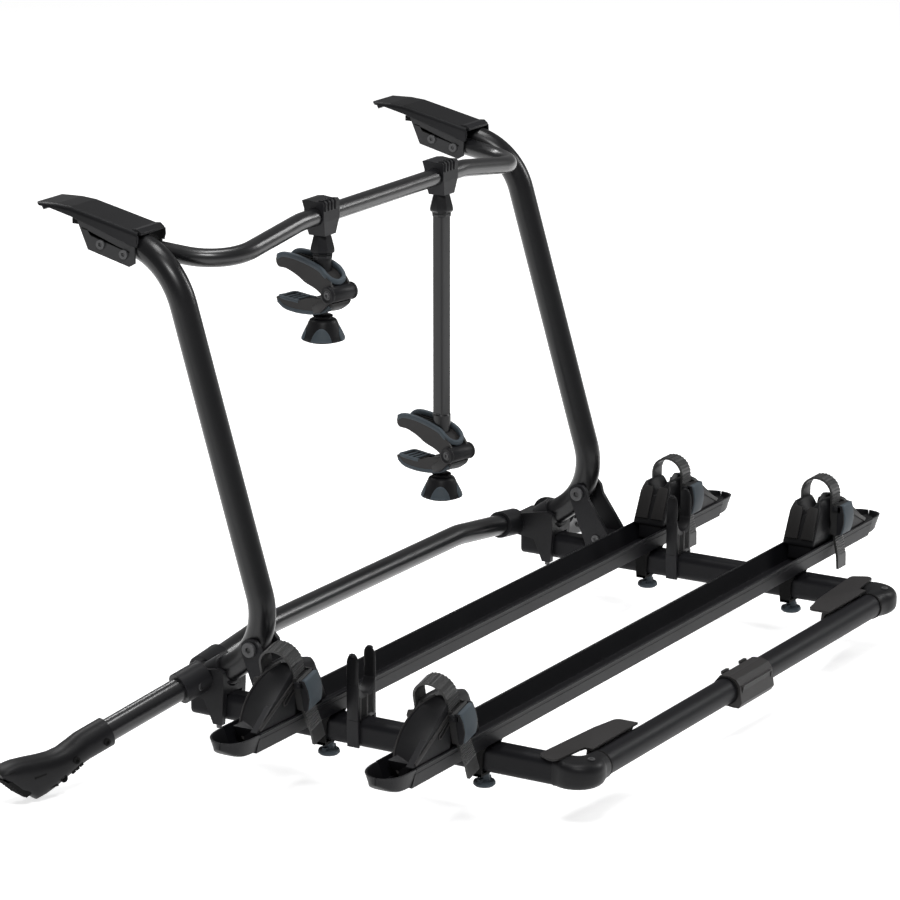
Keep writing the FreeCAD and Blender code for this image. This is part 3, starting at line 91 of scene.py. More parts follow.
def surfaceGroup():
    # fine grain, a slow change of roughness and colour, and a painted highlight that makes sharp edges a
    # little lighter
    group = bpy.data.node_groups.new("mouldedSurface", "ShaderNodeTree")
    inputs = (("Vector", "Vector", None), ("Colour", "Color", (0.01, 0.01, 0.01, 1)),
              ("Roughness", "Float", 0.4), ("Spread", "Float", 0.1), ("Grain", "Float", 1000),
              ("Bump", "Float", 0.1), ("EdgeHighlight", "Float", 0.5), ("Rounding", "Vector", None))
    for name, kind, value in inputs:
        addSocket(group, name, "INPUT", kind, value)
    for name, kind in (("Colour", "Color"), ("Roughness", "Float"), ("Normal", "Vector")):
        addSocket(group, name, "OUTPUT", kind)
    add = group.nodes.new
    given, out = add("NodeGroupInput"), add("NodeGroupOutput")
    fine, slow = add("ShaderNodeTexNoise"), add("ShaderNodeTexNoise")
    slow.inputs["Scale"].default_value = skinSizes["patchScale"]
    slow.inputs["Detail"].default_value = skinSizes["patchDetail"]
    fine.inputs["Detail"].default_value = skinSizes["grainDetail"]
    shift = mathNode(group, "SUBTRACT", second=0.5)
    spread = mathNode(group, "MULTIPLY_ADD")
    # pointiness picks out sharp edges, which are painted lighter as a painted highlight
    edges, picked = add("ShaderNodeNewGeometry"), add("ShaderNodeMapRange")
    picked.inputs["From Min"].default_value = skinSizes["highlightFrom"]
    picked.inputs["From Max"].default_value = skinSizes["highlightTo"]
    edgeHighlight = mathNode(group, "MULTIPLY")
    lift = mathNode(group, "MULTIPLY_ADD", second=skinSizes["highlightLift"], third=1.0)
    mottled = mathNode(group, "MULTIPLY_ADD", second=skinSizes["mottle"])
    tinted = add("ShaderNodeVectorMath")
    tinted.operation = "SCALE"
    bump = add("ShaderNodeBump")
    bump.inputs["Distance"].default_value = skinSizes["grainHeight"]
    connect(group, (given, "Vector", fine, "Vector"), (given, "Vector", slow, "Vector"),
            (given, "Grain", fine, "Scale"), (slow, "Fac", shift, 0))
    connect(group, (shift, 0, spread, 0), (given, "Spread", spread, 1),
            (given, "Roughness", spread, 2), (spread, 0, out, "Roughness"))
    # the edge mask lifts the colour: a painted highlight along sharp edges
    connect(group, (edges, "Pointiness", picked, "Value"), (picked, "Result", edgeHighlight, 0),
            (given, "EdgeHighlight", edgeHighlight, 1), (edgeHighlight, 0, lift, 0), (shift, 0, mottled, 0), (lift, 0, mottled, 2),
            (given, "Colour", tinted, 0), (mottled, 0, tinted, "Scale"), (tinted, 0, out, "Colour"))
    connect(group, (given, "Bump", bump, "Strength"), (fine, "Fac", bump, "Height"),
            (given, "Rounding", bump, "Normal"), (bump, 0, out, "Normal"))
    return group


grainGroup = surfaceGroup()


def makeMaterial(name, look):
    material = bpy.data.materials.new(name)
    material.use_nodes = True
    tree = material.node_tree
    shader = tree.nodes["Principled BSDF"]
    place = tree.nodes.new("ShaderNodeTexCoord")
    rounded = tree.nodes.new("ShaderNodeBevel")
    rounded.samples = shaderSizes["edgeSamples"]
    rounded.inputs["Radius"].default_value = look["round"]
    skin = tree.nodes.new("ShaderNodeGroup")
    skin.node_tree = grainGroup
    skin.inputs["Colour"].default_value = (*look["colour"], 1)
    # the edge key sets the strength of the painted edge highlight
    for socket, key in (("Roughness", "rough"), ("Spread", "spread"), ("Grain", "grain"),
                        ("Bump", "bump"), ("EdgeHighlight", "edge")):
        skin.inputs[socket].default_value = look[key]
    connect(tree, (place, "Object", skin, "Vector"), (rounded, "Normal", skin, "Rounding"),
            (skin, "Colour", shader, "Base Color"), (skin, "Roughness", shader, "Roughness"),
            (skin, "Normal", shader, "Normal"))
    shader.inputs["Specular IOR Level"].default_value = look["gloss"]
    shader.inputs["Coat Weight"].default_value = look["coat"]
    shader.inputs["Coat Roughness"].default_value = shaderSizes["coatRough"]
    return material


materials = {}
for name, row in finishRows.items():
    materials[name] = makeMaterial(name, dict(zip(finishKeys, row)))
print("finishes made:", len(materials))

# helpers for new pieces; sizes are millimetres in each piece's own frame
metres = Matrix.Scale(0.001, 4)
mirrorX = Matrix.Scale(-1, 4, (1, 0, 0))
hands = (("left", -1), ("right", 1))
trays = (("inner", -366.0), ("outer", -569.6))


def settle(name, shape, place, body, slotName, replaced=(), smooth=30):
    # put a finished shape in the model's frame, give it its finish and its body
    bmesh.ops.transform(shape, matrix=place, verts=shape.verts)
    if place.determinant() < 0:
        bmesh.ops.reverse_faces(shape, faces=shape.faces)
    data = bpy.data.meshes.new(name)
    shape.to_mesh(data)
    shape.free()
    data.shade_smooth()
    data.set_sharp_from_angle(angle=math.radians(smooth))
    data.materials.append(materials[slotName])
    piece = bpy.data.objects.new(name, data)
    bpy.context.scene.collection.objects.link(piece)
    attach(piece, body)
    if replaced:
        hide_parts(*replaced)


def spot(x, y, z):
    # a place given in millimetres, as a move in metres
    return Matrix.Translation((x / 1000, y / 1000, z / 1000))


def turnAbout(axis, degrees):
    return Matrix.Rotation(math.radians(degrees), 4, axis)


def sideTurn(sign):
    return mirrorX if sign < 0 else Matrix()


def arcPoints(centre, radius, degrees):
    angles = [math.radians(value) for value in degrees]
    return [(centre[0] + radius * math.cos(a), centre[1] + radius * math.sin(a)) for a in angles]


def onceFor(hand, node):
    # a CAD piece replaced by shapes on both sides is named once, by the right one
    return [node] if hand == "right" else []


def roundEdges(shape, width, segments=3, angle=30):
    limit = math.radians(angle)
    edges = [e for e in shape.edges if len(e.link_faces) == 2 and e.calc_face_angle(0) > limit]
    bmesh.ops.bevel(shape, geom=edges, offset=width, offset_type="OFFSET", affect="EDGES",
                    segments=segments, profile=0.5, material=-1, clamp_overlap=True)


def prism(points, low, high, axis="x"):
    # an outline carried along one axis
    orders = {"x": lambda a, b, c: (c, a, b), "y": lambda a, b, c: (a, c, b), "z": lambda a, b, c: (a, b, c)}
    order = orders[axis]
    shape = bmesh.new()
    face = shape.faces.new([shape.verts.new(order(a, b, low)) for a, b in points])
    made = bmesh.ops.extrude_face_region(shape, geom=[face])
    far = [item for item in made["geom"] if isinstance(item, bmesh.types.BMVert)]
    bmesh.ops.translate(shape, verts=far, vec=order(0, 0, high - low))
    bmesh.ops.recalc_face_normals(shape, faces=shape.faces)
    return shape


def pocketed(points, low, high, axis, rim, depth):
    # a plate whose face at low has a sunk middle
    shape = prism(points, low, high, axis)
    way = {"x": 0, "y": 1, "z": 2}[axis]
    across = [f for f in shape.faces if abs(f.normal[way]) > 0.9]
    face = min(across, key=lambda f: abs(f.calc_center_median()[way] - low))
    bmesh.ops.inset_region(shape, faces=[face], thickness=rim, use_even_offset=True)
    made = bmesh.ops.extrude_face_region(shape, geom=[face])
    push = Vector((0, 0, 0))
    push[way] = depth if high > low else -depth
    sunk = [item for item in made["geom"] if isinstance(item, bmesh.types.BMVert)]
    bmesh.ops.translate(shape, verts=sunk, vec=push)
    bmesh.ops.delete(shape, geom=[face], context="FACES")
    bmesh.ops.recalc_face_normals(shape, faces=shape.faces)
    return shape


def joined(first, *others):
    # several shapes in one mesh
    for other in others:
        data = bpy.data.meshes.new("joined")
        other.to_mesh(data)
        other.free()
        first.from_mesh(data)
        bpy.data.meshes.remove(data)
    return first


def moved(shape, matrix):
    bmesh.ops.transform(shape, matrix=matrix, verts=shape.verts)
    return shape


def loft(sections, count=28):
    # rings of (centre, across, up, half width, half height, squareness) joined by bridges
    shape = bmesh.new()
    rings = []
    for centre, across, up, halfWide, halfHigh, square in sections:
        made = bmesh.ops.create_circle(shape, cap_ends=False, segments=count, radius=1)
        for vert in made["verts"]:
            c, s = vert.co.x, vert.co.y
            c = math.copysign(abs(c) ** (2 / square), c)
            s = math.copysign(abs(s) ** (2 / square), s)
            vert.co = Vector(centre) + Vector(across) * (halfWide * c) + Vector(up) * (halfHigh * s)
        rings.append(list({e for v in made["verts"] for e in v.link_edges}))
    for one, two in zip(rings, rings[1:]):
        bmesh.ops.bridge_loops(shape, edges=one + two)
    for ring in (rings[0], rings[-1]):
        bmesh.ops.contextual_create(shape, geom=ring)
    bmesh.ops.recalc_face_normals(shape, faces=shape.faces)
    return shape


def ringLoft(rings):
    # rings of equal point counts, joined side by side and closed at both ends
    shape = bmesh.new()
    loops = []
    for ring in rings:
        verts = [shape.verts.new(point) for point in ring]
        loops.append([shape.edges.new((a, b)) for a, b in zip(verts, verts[1:] + verts[:1])])
    for one, two in zip(loops, loops[1:]):
        bmesh.ops.bridge_loops(shape, edges=one + two)
    for loop in (loops[0], loops[-1]):
        bmesh.ops.contextual_create(shape, geom=loop)
    bmesh.ops.recalc_face_normals(shape, faces=shape.faces)
    return shape


def turnedShape(profile, steps=40):
    # radius and height pairs spun about Z
    shape = bmesh.new()
    verts = [shape.verts.new((radius, 0, height)) for radius, height in profile]
    edges = [shape.edges.new(pair) for pair in zip(verts, verts[1:])]
    bmesh.ops.spin(shape, geom=verts + edges, cent=(0, 0, 0), axis=(0, 0, 1), angle=2 * math.pi,
                   steps=steps, use_merge=True)
    bmesh.ops.remove_doubles(shape, verts=shape.verts, dist=0.001)
    bmesh.ops.recalc_face_normals(shape, faces=shape.faces)
    return shape


def smoothLine(points, steps=5):
    # a Catmull-Rom line through the points
    ends = [points[0]] + list(points) + [points[-1]]
    line = []
    for a, b, c, d in zip(ends, ends[1:], ends[2:], ends[3:]):
        a, b, c, d = (Vector(p) for p in (a, b, c, d))
        for n in range(steps):
            t = n / steps
            line.append(0.5 * (2 * b + (c - a) * t + (2 * a - 5 * b + 4 * c - d) * t ** 2
                               + (3 * b - a - 3 * c + d) * t ** 3))
    return line + [Vector(points[-1])]


def directionAt(points, n):
    ahead = Vector(points[min(n + 1, len(points) - 1)]) - Vector(points[max(n - 1, 0)])
    return ahead.normalized()


def bar(points, radius, count=8):
    # a thin round bar along points
    rings = []
    for n, point in enumerate(points):
        ahead = directionAt(points, n)
        side = ahead.cross(Vector((0, 0, 1)))
        side = side.normalized() if side.length > 0.01 else Vector((1, 0, 0))
        rings.append((point, side, side.cross(ahead), radius, radius, 2))
    return loft(rings, count)


def sweep(points, halfWide, halfHigh, square=3.5, count=16):
    # a rounded strip along points, its height kept upright
    rings = []
    for n, point in enumerate(points):
        ahead = directionAt(points, n)
        side = ahead.cross(Vector((0, 0, 1))).normalized()
        rings.append((point, side, side.cross(ahead), halfWide, halfHigh, square))
    return loft(rings, count)


# CAD pieces that keep their shape get their finishes
for node, piece in nodes.items():
    piece.data.materials.clear()
    piece.data.materials.append(materials[slotOf[node]])
print("CAD finishes set")

# wheel holders: u runs outward along the tray, y across it, z up from the tray's underside
holderSizes = dict(
    places=dict(inner_left=-466, inner_right=433, outer_left=-474, outer_right=449),
    peak=dict(left=83.5, right=77.0), trayBottom=-529.5, keel=23.2, near=-19.8, wing=-22.8, far=22.6,
    valley=59, farTop=74, slopeStart=-56, slopeBase=26, innerLean=2.0, crestEnd=8,
    coreAlong=(-55.5, -50, -44, -38, -33, -30, -10, 10, 15),
    coreAcross=(-17, -12.5, -8, -3, 4, 10, 15, 19),
    sail=((9, -10, 83.6), (16, 0.5, 77.5), (26, 12.5, 65.5), (37, 20, 49),
          (48.6, 22.3, 32), (60, 18.5, 19.5), (70, 9.5, 12), (78, 0, 9)),
    sailAlong=[12 + 3.5 * n for n in range(18)] + [75, 77.5],
    rimStart=dict(left=12, right=27), rimEnd=76, rimRadius=1.3,
    keelLine=((-53.5, 5.2), (-53.5, 24), (78, 24), (70, 5.2)), keelHalf=16,
    footLine=((58, 23.2), (58, 46), (88, 24.5), (88, 23.2)), footEnd=-14,
    frameLine=((13, 61), (16.5, 64.5), (86, 28.5), (83, 24.5)),
    windowLine=((12.5, 57.5), (16.5, 58.5), (36.5, 45.5), (36, 40.5), (31, 40.5), (11, 53.5)),
    rearLine=((-3, 38), (14, 60.5), (17, 58), (2, 35)),
    tabLine=((8, 50), (10, 60), (24, 63.5), (27, 58), (22, 50)),
    panels=((-18, -1.5), (3, 21)), panelThick=2.6, panelRun=21 / 48.8, panelRise=44 / 48.8,
    panelFoot=(-55.2, 26.5))
sailEdge = smoothLine(holderSizes["sail"], 8)


def farEdge(u):
    # the sail's curved far edge: y and z at each u
    for a, b in zip(sailEdge, sailEdge[1:]):
        if u <= b[0]:
            share = max(0, (u - a[0]) / (b[0] - a[0]))
            return a[1] + (b[1] - a[1]) * share, a[2] + (b[2] - a[2]) * share
    return sailEdge[-1][1:]


def coreRing(u, peak, sizes):
    # a section of the holder's body; a slope cuts it at the inner end, a step down at the outer
    valley, farTop = sizes["valley"], sizes["farTop"]
    slope = sizes["slopeBase"] + sizes["innerLean"] * (u - sizes["slopeStart"])
    drop = max(0, u - sizes["crestEnd"])
    crest = (peak - 9, peak - 1, peak, peak - 7, valley, valley - 1, valley + 6,
             farTop - 0.5, farTop, farTop - 8)
    across = (sizes["near"], *sizes["coreAcross"], sizes["far"])
    top = [(u, y, min(slope, z - drop)) for y, z in zip(across, crest)]
    return [(u, sizes["near"], sizes["keel"])] + top + [(u, sizes["far"], sizes["keel"])]


def sailRing(u, peak, sizes):
    # a section of the sail, from its straight near edge to its curved far one
    wing, keel = sizes["wing"], sizes["keel"]
    nearTop = min(peak - 6, 76 - 0.708 * (u - 16.6))
    farY, farZ = farEdge(u)
    if u < 20:
        farZ = min(farZ, peak - 2)
    floor = keel if u < 60 else keel - (u - 60) * 0.9
    low = min(floor, farZ - 3)
    middle = []
    for n in range(1, 6):
        y = wing + (farY - wing) * n / 6
        z = nearTop + (farZ - nearTop) * n / 6 + 3.0 * math.sin(math.pi * n / 6)
        middle.append((y, z))
    if low < keel:
        nearWall = [(-15.5, low), (-15.5, keel + 0.3), (wing, keel + 0.6)]
    else:
        nearWall = [(-10, low), (wing + 1, low), (wing, low + 0.6)]
    line = nearWall + [(wing, nearTop)] + middle + [(farY, farZ), (farY - 0.6, low)]
    return [(u, y, z) for y, z in line]


def holderShell(hand, sizes):
    peak, wing = sizes["peak"][hand], sizes["wing"]
    core = ringLoft([coreRing(u, peak, sizes) for u in sizes["coreAlong"]])
    roundEdges(core, 1.1, 2, 35)
    sail = ringLoft([sailRing(u, peak, sizes) for u in sizes["sailAlong"]])
    keel = prism(sizes["keelLine"], -sizes["keelHalf"], sizes["keelHalf"], "y")
    roundEdges(keel, 1.2, 2)
    outerFoot = prism(sizes["footLine"], wing + 0.2, sizes["footEnd"], "y")
    return joined(core, sail, keel, outerFoot)


def holderTrim(hand, sizes):
    wing, far, first = sizes["wing"], sizes["far"], sizes["rimStart"][hand]
    frameBar = prism(sizes["frameLine"], wing - 1.6, wing + 0.5, "y")
    roundEdges(frameBar, 0.7, 2)
    window = pocketed(sizes["windowLine"], wing - 1.2, wing + 3, "y", 1.6, 3.6)
    rear = prism(sizes["rearLine"], wing - 1.2, wing + 4, "y")
    along = [first + (sizes["rimEnd"] - first) * n / 18 for n in range(19)]
    rim = bar([(u, farEdge(u)[0] + 0.2, farEdge(u)[1] + 0.4) for u in along], sizes["rimRadius"])
    parts = [window, rear, rim]
    if hand == "left":
        parts.append(pocketed(sizes["tabLine"], far + 0.5, far - 5, "y", 2, 2))
    run, rise = sizes["panelRun"], sizes["panelRise"]
    footAlong, footUp = sizes["panelFoot"]
    slope = Matrix(((0, run, -rise, footAlong), (1, 0, 0, 0), (0, rise, run, footUp), (0, 0, 0, 1)))
    for low, high in sizes["panels"]:
        panel = prism([(low, 5), (low + 1, 43), (low + 3, 47), (high - 3, 47), (high - 1, 43), (high, 5)],
                      0, sizes["panelThick"], "z")
        roundEdges(panel, 0.7, 2)
        parts.append(moved(panel, slope))
    return joined(frameBar, *parts)


for trayName, trayY in trays:
    for hand, sign in hands:
        x = holderSizes["places"][f"{trayName}_{hand}"]
        place = spot(x, trayY, holderSizes["trayBottom"]) @ metres @ sideTurn(sign)
        body = f"{trayName}_{hand}_holder"
        settle(f"{trayName}_{hand}_holderShell", holderShell(hand, holderSizes), place, body,
               "plastic_black", [f"{trayName}_wheel_holder_{hand}"], smooth=52)
        settle(f"{trayName}_{hand}_holderTrim", holderTrim(hand, holderSizes), place, body,
               "plastic_dark_grey")
print("wheel holders made")

# buckle levers: a curved grey pad with dark cheeks behind it, drawn from the pad's back
leverSizes = dict(
    back=-33.7, pad=26, hubRise=53.5, lean=dict(left=-15, right=0),
    padBack=((-0.4, -22), (-0.2, 17.2)),
    cheek=((2, 17), (2, -21), (0, -22.6), (-3.4, -20), (-7.4, -6), (-7.2, 5), (-4.2, 16.4)),
    ear=((7.6, 15.2), (7.6, 8.8), (-2.4, 8.8), (-2.4, 15.2)),
    bridge=((0, 15.2), (0, 8.8), (-2.4, 8.8), (-2.4, 15.2)),
    pin=((0, -17.4), (2.2, -17.4), (2.2, 17.4), (0, 17.4)), pinAt=(0, -29.3, 12))


def fromBack(points):
    return [(leverSizes["back"] + y, z) for y, z in points]


for trayName, trayY in trays:
    for hand, sign in hands:
        sizes = leverSizes
        hub = spot(holderSizes["places"][f"{trayName}_{hand}"], trayY,
                   holderSizes["trayBottom"] + sizes["hubRise"])
        place = hub @ turnAbout("Y", sizes["lean"][hand]) @ metres
        body = f"{trayName}_{hand}_lever"
        face = []
        for n in range(13):
            swell = 6.2 * math.sin(math.pi * (0.16 + 0.74 * n / 12))
            face.append((sizes["back"] - 2.4 - swell, 17.2 - 38.6 * n / 12))
        pad = prism(face + fromBack(sizes["padBack"]), -sizes["pad"] / 2, sizes["pad"] / 2)
        roundEdges(pad, 1.8, 3, 24)
        settle(f"{trayName}_{hand}_leverPad", pad, place, body, "plastic_blue_grey",
               [f"{trayName}_buckle_lever_{hand}"], smooth=40)
        cheeks = []
        for side in (-1, 1):
            cheeks.append(prism(fromBack(sizes["cheek"]), side * 12.9, side * 14.6))
            cheeks.append(prism(fromBack(sizes["ear"]), side * 14.9, side * 16.9))
            cheeks.append(prism(fromBack(sizes["bridge"]), side * 10.8, side * 16.9))
        pinStand = Matrix.Translation(sizes["pinAt"]) @ turnAbout("Y", 90)
        pin = moved(turnedShape(sizes["pin"], 20), pinStand)
        settle(f"{trayName}_{hand}_leverCheeks", joined(pin, *cheeks), place, body, "plastic_black")
print("buckle levers made")

# foot shells: a duck bill drawn from its side outline, lofted along the foot arm
# each station: place along the foot, top, underside, half width, squareness
footSizes = dict(
    start=(403.7, -203.0, -518.5), reach=(205.5, 80.4, -66.7), shellStart=126,
    stations=((0, 17.5, -17.5, 17.5, 2.0), (34, 17.4, -17.5, 17.5, 2.0), (48, 14.6, -18.2, 18.0, 2.1),
              (60, 12.2, -19.8, 18.6, 2.3), (73, 13.0, -21.8, 19.2, 2.6), (86, 16.2, -23.8, 19.6, 2.9),
              (99, 20.6, -25.4, 19.6, 3.1), (111, 24.6, -25.4, 19.0, 3.1), (118, 26.8, -16.0, 18.2, 3.0),
              (126, 28.0, -9.0, 17.6, 3.0), (134, 28.6, 5.0, 16.6, 3.0), (140, 28.0, 13.5, 15.0, 3.0),
              (143.6, 25.8, 18.5, 12.5, 3.0)),
    slits=((132, 23, 7, 6), (102, 3.4, 15, 8), (90, -17, 13, 14)),
    ribs=((48, -11), (54, -12.5), (60, -13.5)), screws=((11, -2.2), (54, -2.5)),
    boss=((0, 0), (2.6, 0), (2.6, 1.2), (4.6, 1.2), (4.6, -1.5), (0, -1.5)), bossAt=(75, -15),
    screw=((0, 0.4), (1.9, 0.4), (1.9, 1.6), (4.2, 1.6), (4.2, -1), (0, -1)),
    pad=(125, -13), padRun=(19.5, 32.5), teeth=9, toothHalf=15)
down = Vector(footSizes["reach"]).normalized()
rise = (Vector((0, 0, 1)) - down * down.z).normalized()
footTurn = Matrix((down, rise.cross(down), rise)).transposed().to_4x4()


def shellHalf(a, b):
    # the shell's half width at a place along it and a height
    rows = footSizes["stations"]
    for one, two in zip(rows, rows[1:]):
        if one[0] <= a <= two[0]:
            share = (a - one[0]) / (two[0] - one[0])
            top, low, half, square = [p + (q - p) * share for p, q in zip(one[1:], two[1:])]
            drop = min(0.98, abs(b - (top + low) / 2) / ((top - low) / 2))
            return half * (1 - drop ** square) ** (1 / square)
    return rows[-1][3]


def onFlank(side, a, b):
    # a place on one side of the foot shell
    return Matrix.Translation((a, side * shellHalf(a, b), b))


def footMarks(sizes):
    # slits painted as dark strips of shade, ribs, a boss and screws on both sides of the shell
    marks = []
    # the slits are not cut; each is a thin dark strip on the flank that paints the shade inside it
    for a, b, length, tilt in sizes["slits"]:
        half = length / 2
        for side in (-1, 1):
            slit = prism([(-half, -0.9), (-half, 0.9), (half, 0.9), (half, -0.9)], -0.5, 0.5, "z")
            marks.append(moved(slit, onFlank(side, a, b) @ turnAbout("Y", -tilt) @ turnAbout("X", 90)))
    for side in (-1, 1):
        for a, b in sizes["ribs"]:
            line = [(a - 2.3, b - 2.6), (a - 2.3, b + 2.4), (a + 2.3, b + 1.6), (a + 2.3, b - 3.4)]
            face = shellHalf(a, b)
            marks.append(prism(line, side * (face - 3), side * (face + 0.5), "y"))
        outward = turnAbout("X", -side * 90)
        boss = turnedShape(sizes["boss"], 24)
        marks.append(moved(boss, onFlank(side, *sizes["bossAt"]) @ outward))
        for a, b in sizes["screws"]:
            marks.append(moved(turnedShape(sizes["screw"], 24), onFlank(side, a, b) @ outward))
    return joined(*marks)


def padTeeth(sizes):
    # rows of small teeth on the rubber pad's face
    (padX, padZ), (runX, runZ) = sizes["pad"], sizes["padRun"]
    face = Matrix.Rotation(math.atan2(runX, runZ) + math.pi / 2, 4, "Y")
    teeth = []
    for n in range(sizes["teeth"]):
        share = (n + 0.5) / sizes["teeth"]
        at = Vector((padX + runX * share, 0, padZ + runZ * share)) - Vector((0.4, 0, -0.3))
        tooth = prism([(-1.1, 0), (0, 1.5), (1.1, 0)], -sizes["toothHalf"], sizes["toothHalf"], "y")
        teeth.append(moved(tooth, Matrix.Translation(at) @ face))
    return joined(*teeth)


footFrame = Matrix.Translation((Vector(footSizes["start"]) + down * footSizes["shellStart"]) / 1000)
footFrame = footFrame @ footTurn @ metres
for hand, sign in hands:
    place = sideTurn(sign) @ footFrame
    rings = []
    for a, top, low, half, square in footSizes["stations"]:
        rings.append(((a, 0, (top + low) / 2), (0, 1, 0), (0, 0, 1), half, (top - low) / 2, square))
    settle(f"{hand}_footShell", loft(rings, 40), place, f"{hand}_foot", "plastic_black",
           [f"foot_shell_{hand}"], smooth=50)
    settle(f"{hand}_footMarks", footMarks(footSizes), place, f"{hand}_foot", "rubber_black")
    settle(f"{hand}_padTeeth", padTeeth(footSizes), place, f"{hand}_foot", "rubber_black")
print("feet made")

# bicycle arms, drawn in each arm's own frame: x across the jaws, y towards the van, z up
armSizes = dict(
    turn=-12.2, cross=(-207.0, -27.4), arms=dict(short=(-134, -122), long=(132.5, -377)),
    collarSlot=dict(short="plastic_black", long="upright_black"),
    headRib=((-14.4, 7), (-14.4, 16.5), (-12.2, 20.4), (-4, 20.2), (-4, 17.5), (-11, 7)),
    headRibs=(-14.6, -7.6, -0.6, 6.4), headRibWide=3.4, collarTop=-50, collarTurn=22.5,
    collar=((0, 10.4), (2.2, 11.2), (16.5, 15.0), (19.5, 15.2), (22.2, 12.2), (23.0, 12.2),
            (23.0, 11.2), (24.0, 11.2), (24.0, 12.4), (27.0, 12.0), (27.4, 9.0)),
    longDome=((0, 52), (10.2, 52), (11.2, 50.5), (11.2, 43), (11.0, 30), (9, 25), (0, 25)),
    shortDome=((10.2, 40), (11.2, 33), (11.2, 29), (9, 25), (0, 25)))
jawSizes = dict(
    wall=15.3, bed=12.4, pivot=(-27, 6), barrel=9.6, bedDepth=5,
    upperLow=((61.5, 31.5), (57, 27), (44, 26.4), (27, 21), (14, 14.6), (-3, 9.5), (-15, 3)),
    crest=((61.8, 36.0), (59, 40.2), (50, 43.6), (32, 43.6), (10, 40.2), (-9, 35), (-18, 29), (-26.5, 20.5)),
    bedRibs=(14, 19, 24, 29, 34, 39, 44, 49, 54),
    lowerTop=((61.6, -9.5), (50, -10.4), (33, -11.4), (14, -5), (0, -1.8), (-8, -1.6), (-15, 0.5)),
    lowerUnder=((61.8, -11.5), (59, -15.8), (50, -21.6), (36, -23.4), (20, -23.4), (0, -21.2),
                (-16, -16.8), (-27, -10), (-31, -4)),
    ear=((-14, -17), (-3, -19.4), (0, -12), (-12, -4)), earRadius=9.9,
    belly=((59.5, -15.6), (50, -21.4), (36, -23.4), (20, -23.4), (0, -21.2), (-15, -16.8), (-26, -9.6)),
    gripRibs=(33, 41, 49), pad=((28, -13.5), (28, -9.9), (60, -9.6), (60, -13.5)))
pivotSizes = dict(
    barrel=((0, -19.4), (9.4, -19.4), (9.8, -18.8), (9.8, 18.8), (9.4, 19.4), (0, 19.4)), end=19.2,
    cap=((5.2, 0.9), (6.4, 1.1), (8.6, 1.9), (10.0, 1.5), (10.4, 0.4), (10.4, -1.5), (5.2, -1.5)),
    screw=((0, 0.7), (1.9, 0.7), (1.9, 2.1), (3.5, 2.3), (4.0, 1.6), (4.2, 0.9), (5.0, 0.9), (5.4, 1.2),
           (5.6, 0.6), (5.6, -1.5), (0, -1.5)))
knobSizes = dict(
    start=math.radians(219), lobes=4, sink=0.055, patchHalf=29, patchFoot=-52.4, patchTall=15.5,
    flank=((9.6, -28.2), (13.4, -28.4), (15.6, -29.6), (17.2, -32.4), (19.2, -37.4), (21.4, -42.6),
           (23.8, -47.6), (25.8, -51.6), (25.4, -53.4), (24.0, -54.0)),
    underside=((17.5, -54.0, 0), (16.5, -51.5, 0), (1.0, -51.5, 0)),
    neck=((0, -17), (6, -17), (6, -24.3), (11.0, -24.3), (12.0, -25.0), (11.0, -26.1), (9.8, -26.4),
          (9.8, -29), (0, -29)))


def outlineOf(*parts):
    return [tuple(p) for part in parts for p in part]


def jawShell(low, high, sizes, depth):
    # two side walls with a sunk bed between them, from the lines of the jaw's lower and upper edges
    wall, bed = sizes["wall"], sizes["bed"]
    pieces = []
    for side in (-1, 1):
        pieces.append(prism(outlineOf(low, reversed(high)), side * bed, side * wall))
    sunk = [Vector((p[0], p[1] - depth)) for p in high]
    pieces.append(prism(outlineOf(low, reversed(sunk)), -bed, bed))
    return joined(*pieces)


def bothSides(line):
    # a line that ends on the middle plane, carried on over its mirror image
    return line + [(-x, y, z) for x, y, z in reversed(line[:-1])]


def lobed(profile, lobes, share, start, steps=64):
    # rings about Z whose radius sinks between the lobes
    rings = []
    for radius, height, amount in profile:
        ring = []
        for n in range(steps):
            angle = 2 * math.pi * n / steps
            size = radius * (1 - share * amount * (0.5 - 0.5 * math.cos(lobes * (angle - start))))
            ring.append((size * math.cos(angle), size * math.sin(angle), height))
        rings.append(ring)
    return ringLoft(rings)


def knobRadius(height):
    flank = knobSizes["flank"]
    for (r0, z0), (r1, z1) in zip(flank, flank[1:]):
        if z1 <= height <= z0:
            return r0 + (r1 - r0) * (z0 - height) / (z0 - z1)
    return flank[-1][0]


def knobPatch(middle, halfAngle, bottom, tall):
    # a half oval pad lying on the knob's flank
    rings = []
    for n in range(-9, 10):
        share = n / 9.0
        angle = middle + halfAngle * share
        top = bottom + max(0.4, tall * math.sqrt(max(0, 1 - share * share)))
        heights = [bottom + (top - bottom) * m / 7 for m in range(8)]
        outer, inner = [], []
        for m, height in enumerate(heights):
            size = knobRadius(height) + 0.15 + 0.5 * math.sin(math.pi * (m + 0.5) / 8)
            outer.append((size * math.cos(angle), size * math.sin(angle), height))
        for height in reversed(heights):
            size = knobRadius(height) - 2
            inner.append((size * math.cos(angle), size * math.sin(angle), height))
        rings.append(outer + inner)
    return ringLoft(rings)


def headRibs(sizes):
    ribs = []
    for x in sizes["headRibs"]:
        rib = prism(sizes["headRib"], x, x + sizes["headRibWide"])
        roundEdges(rib, 0.7, 2)
        ribs.append(rib)
    return joined(*ribs)


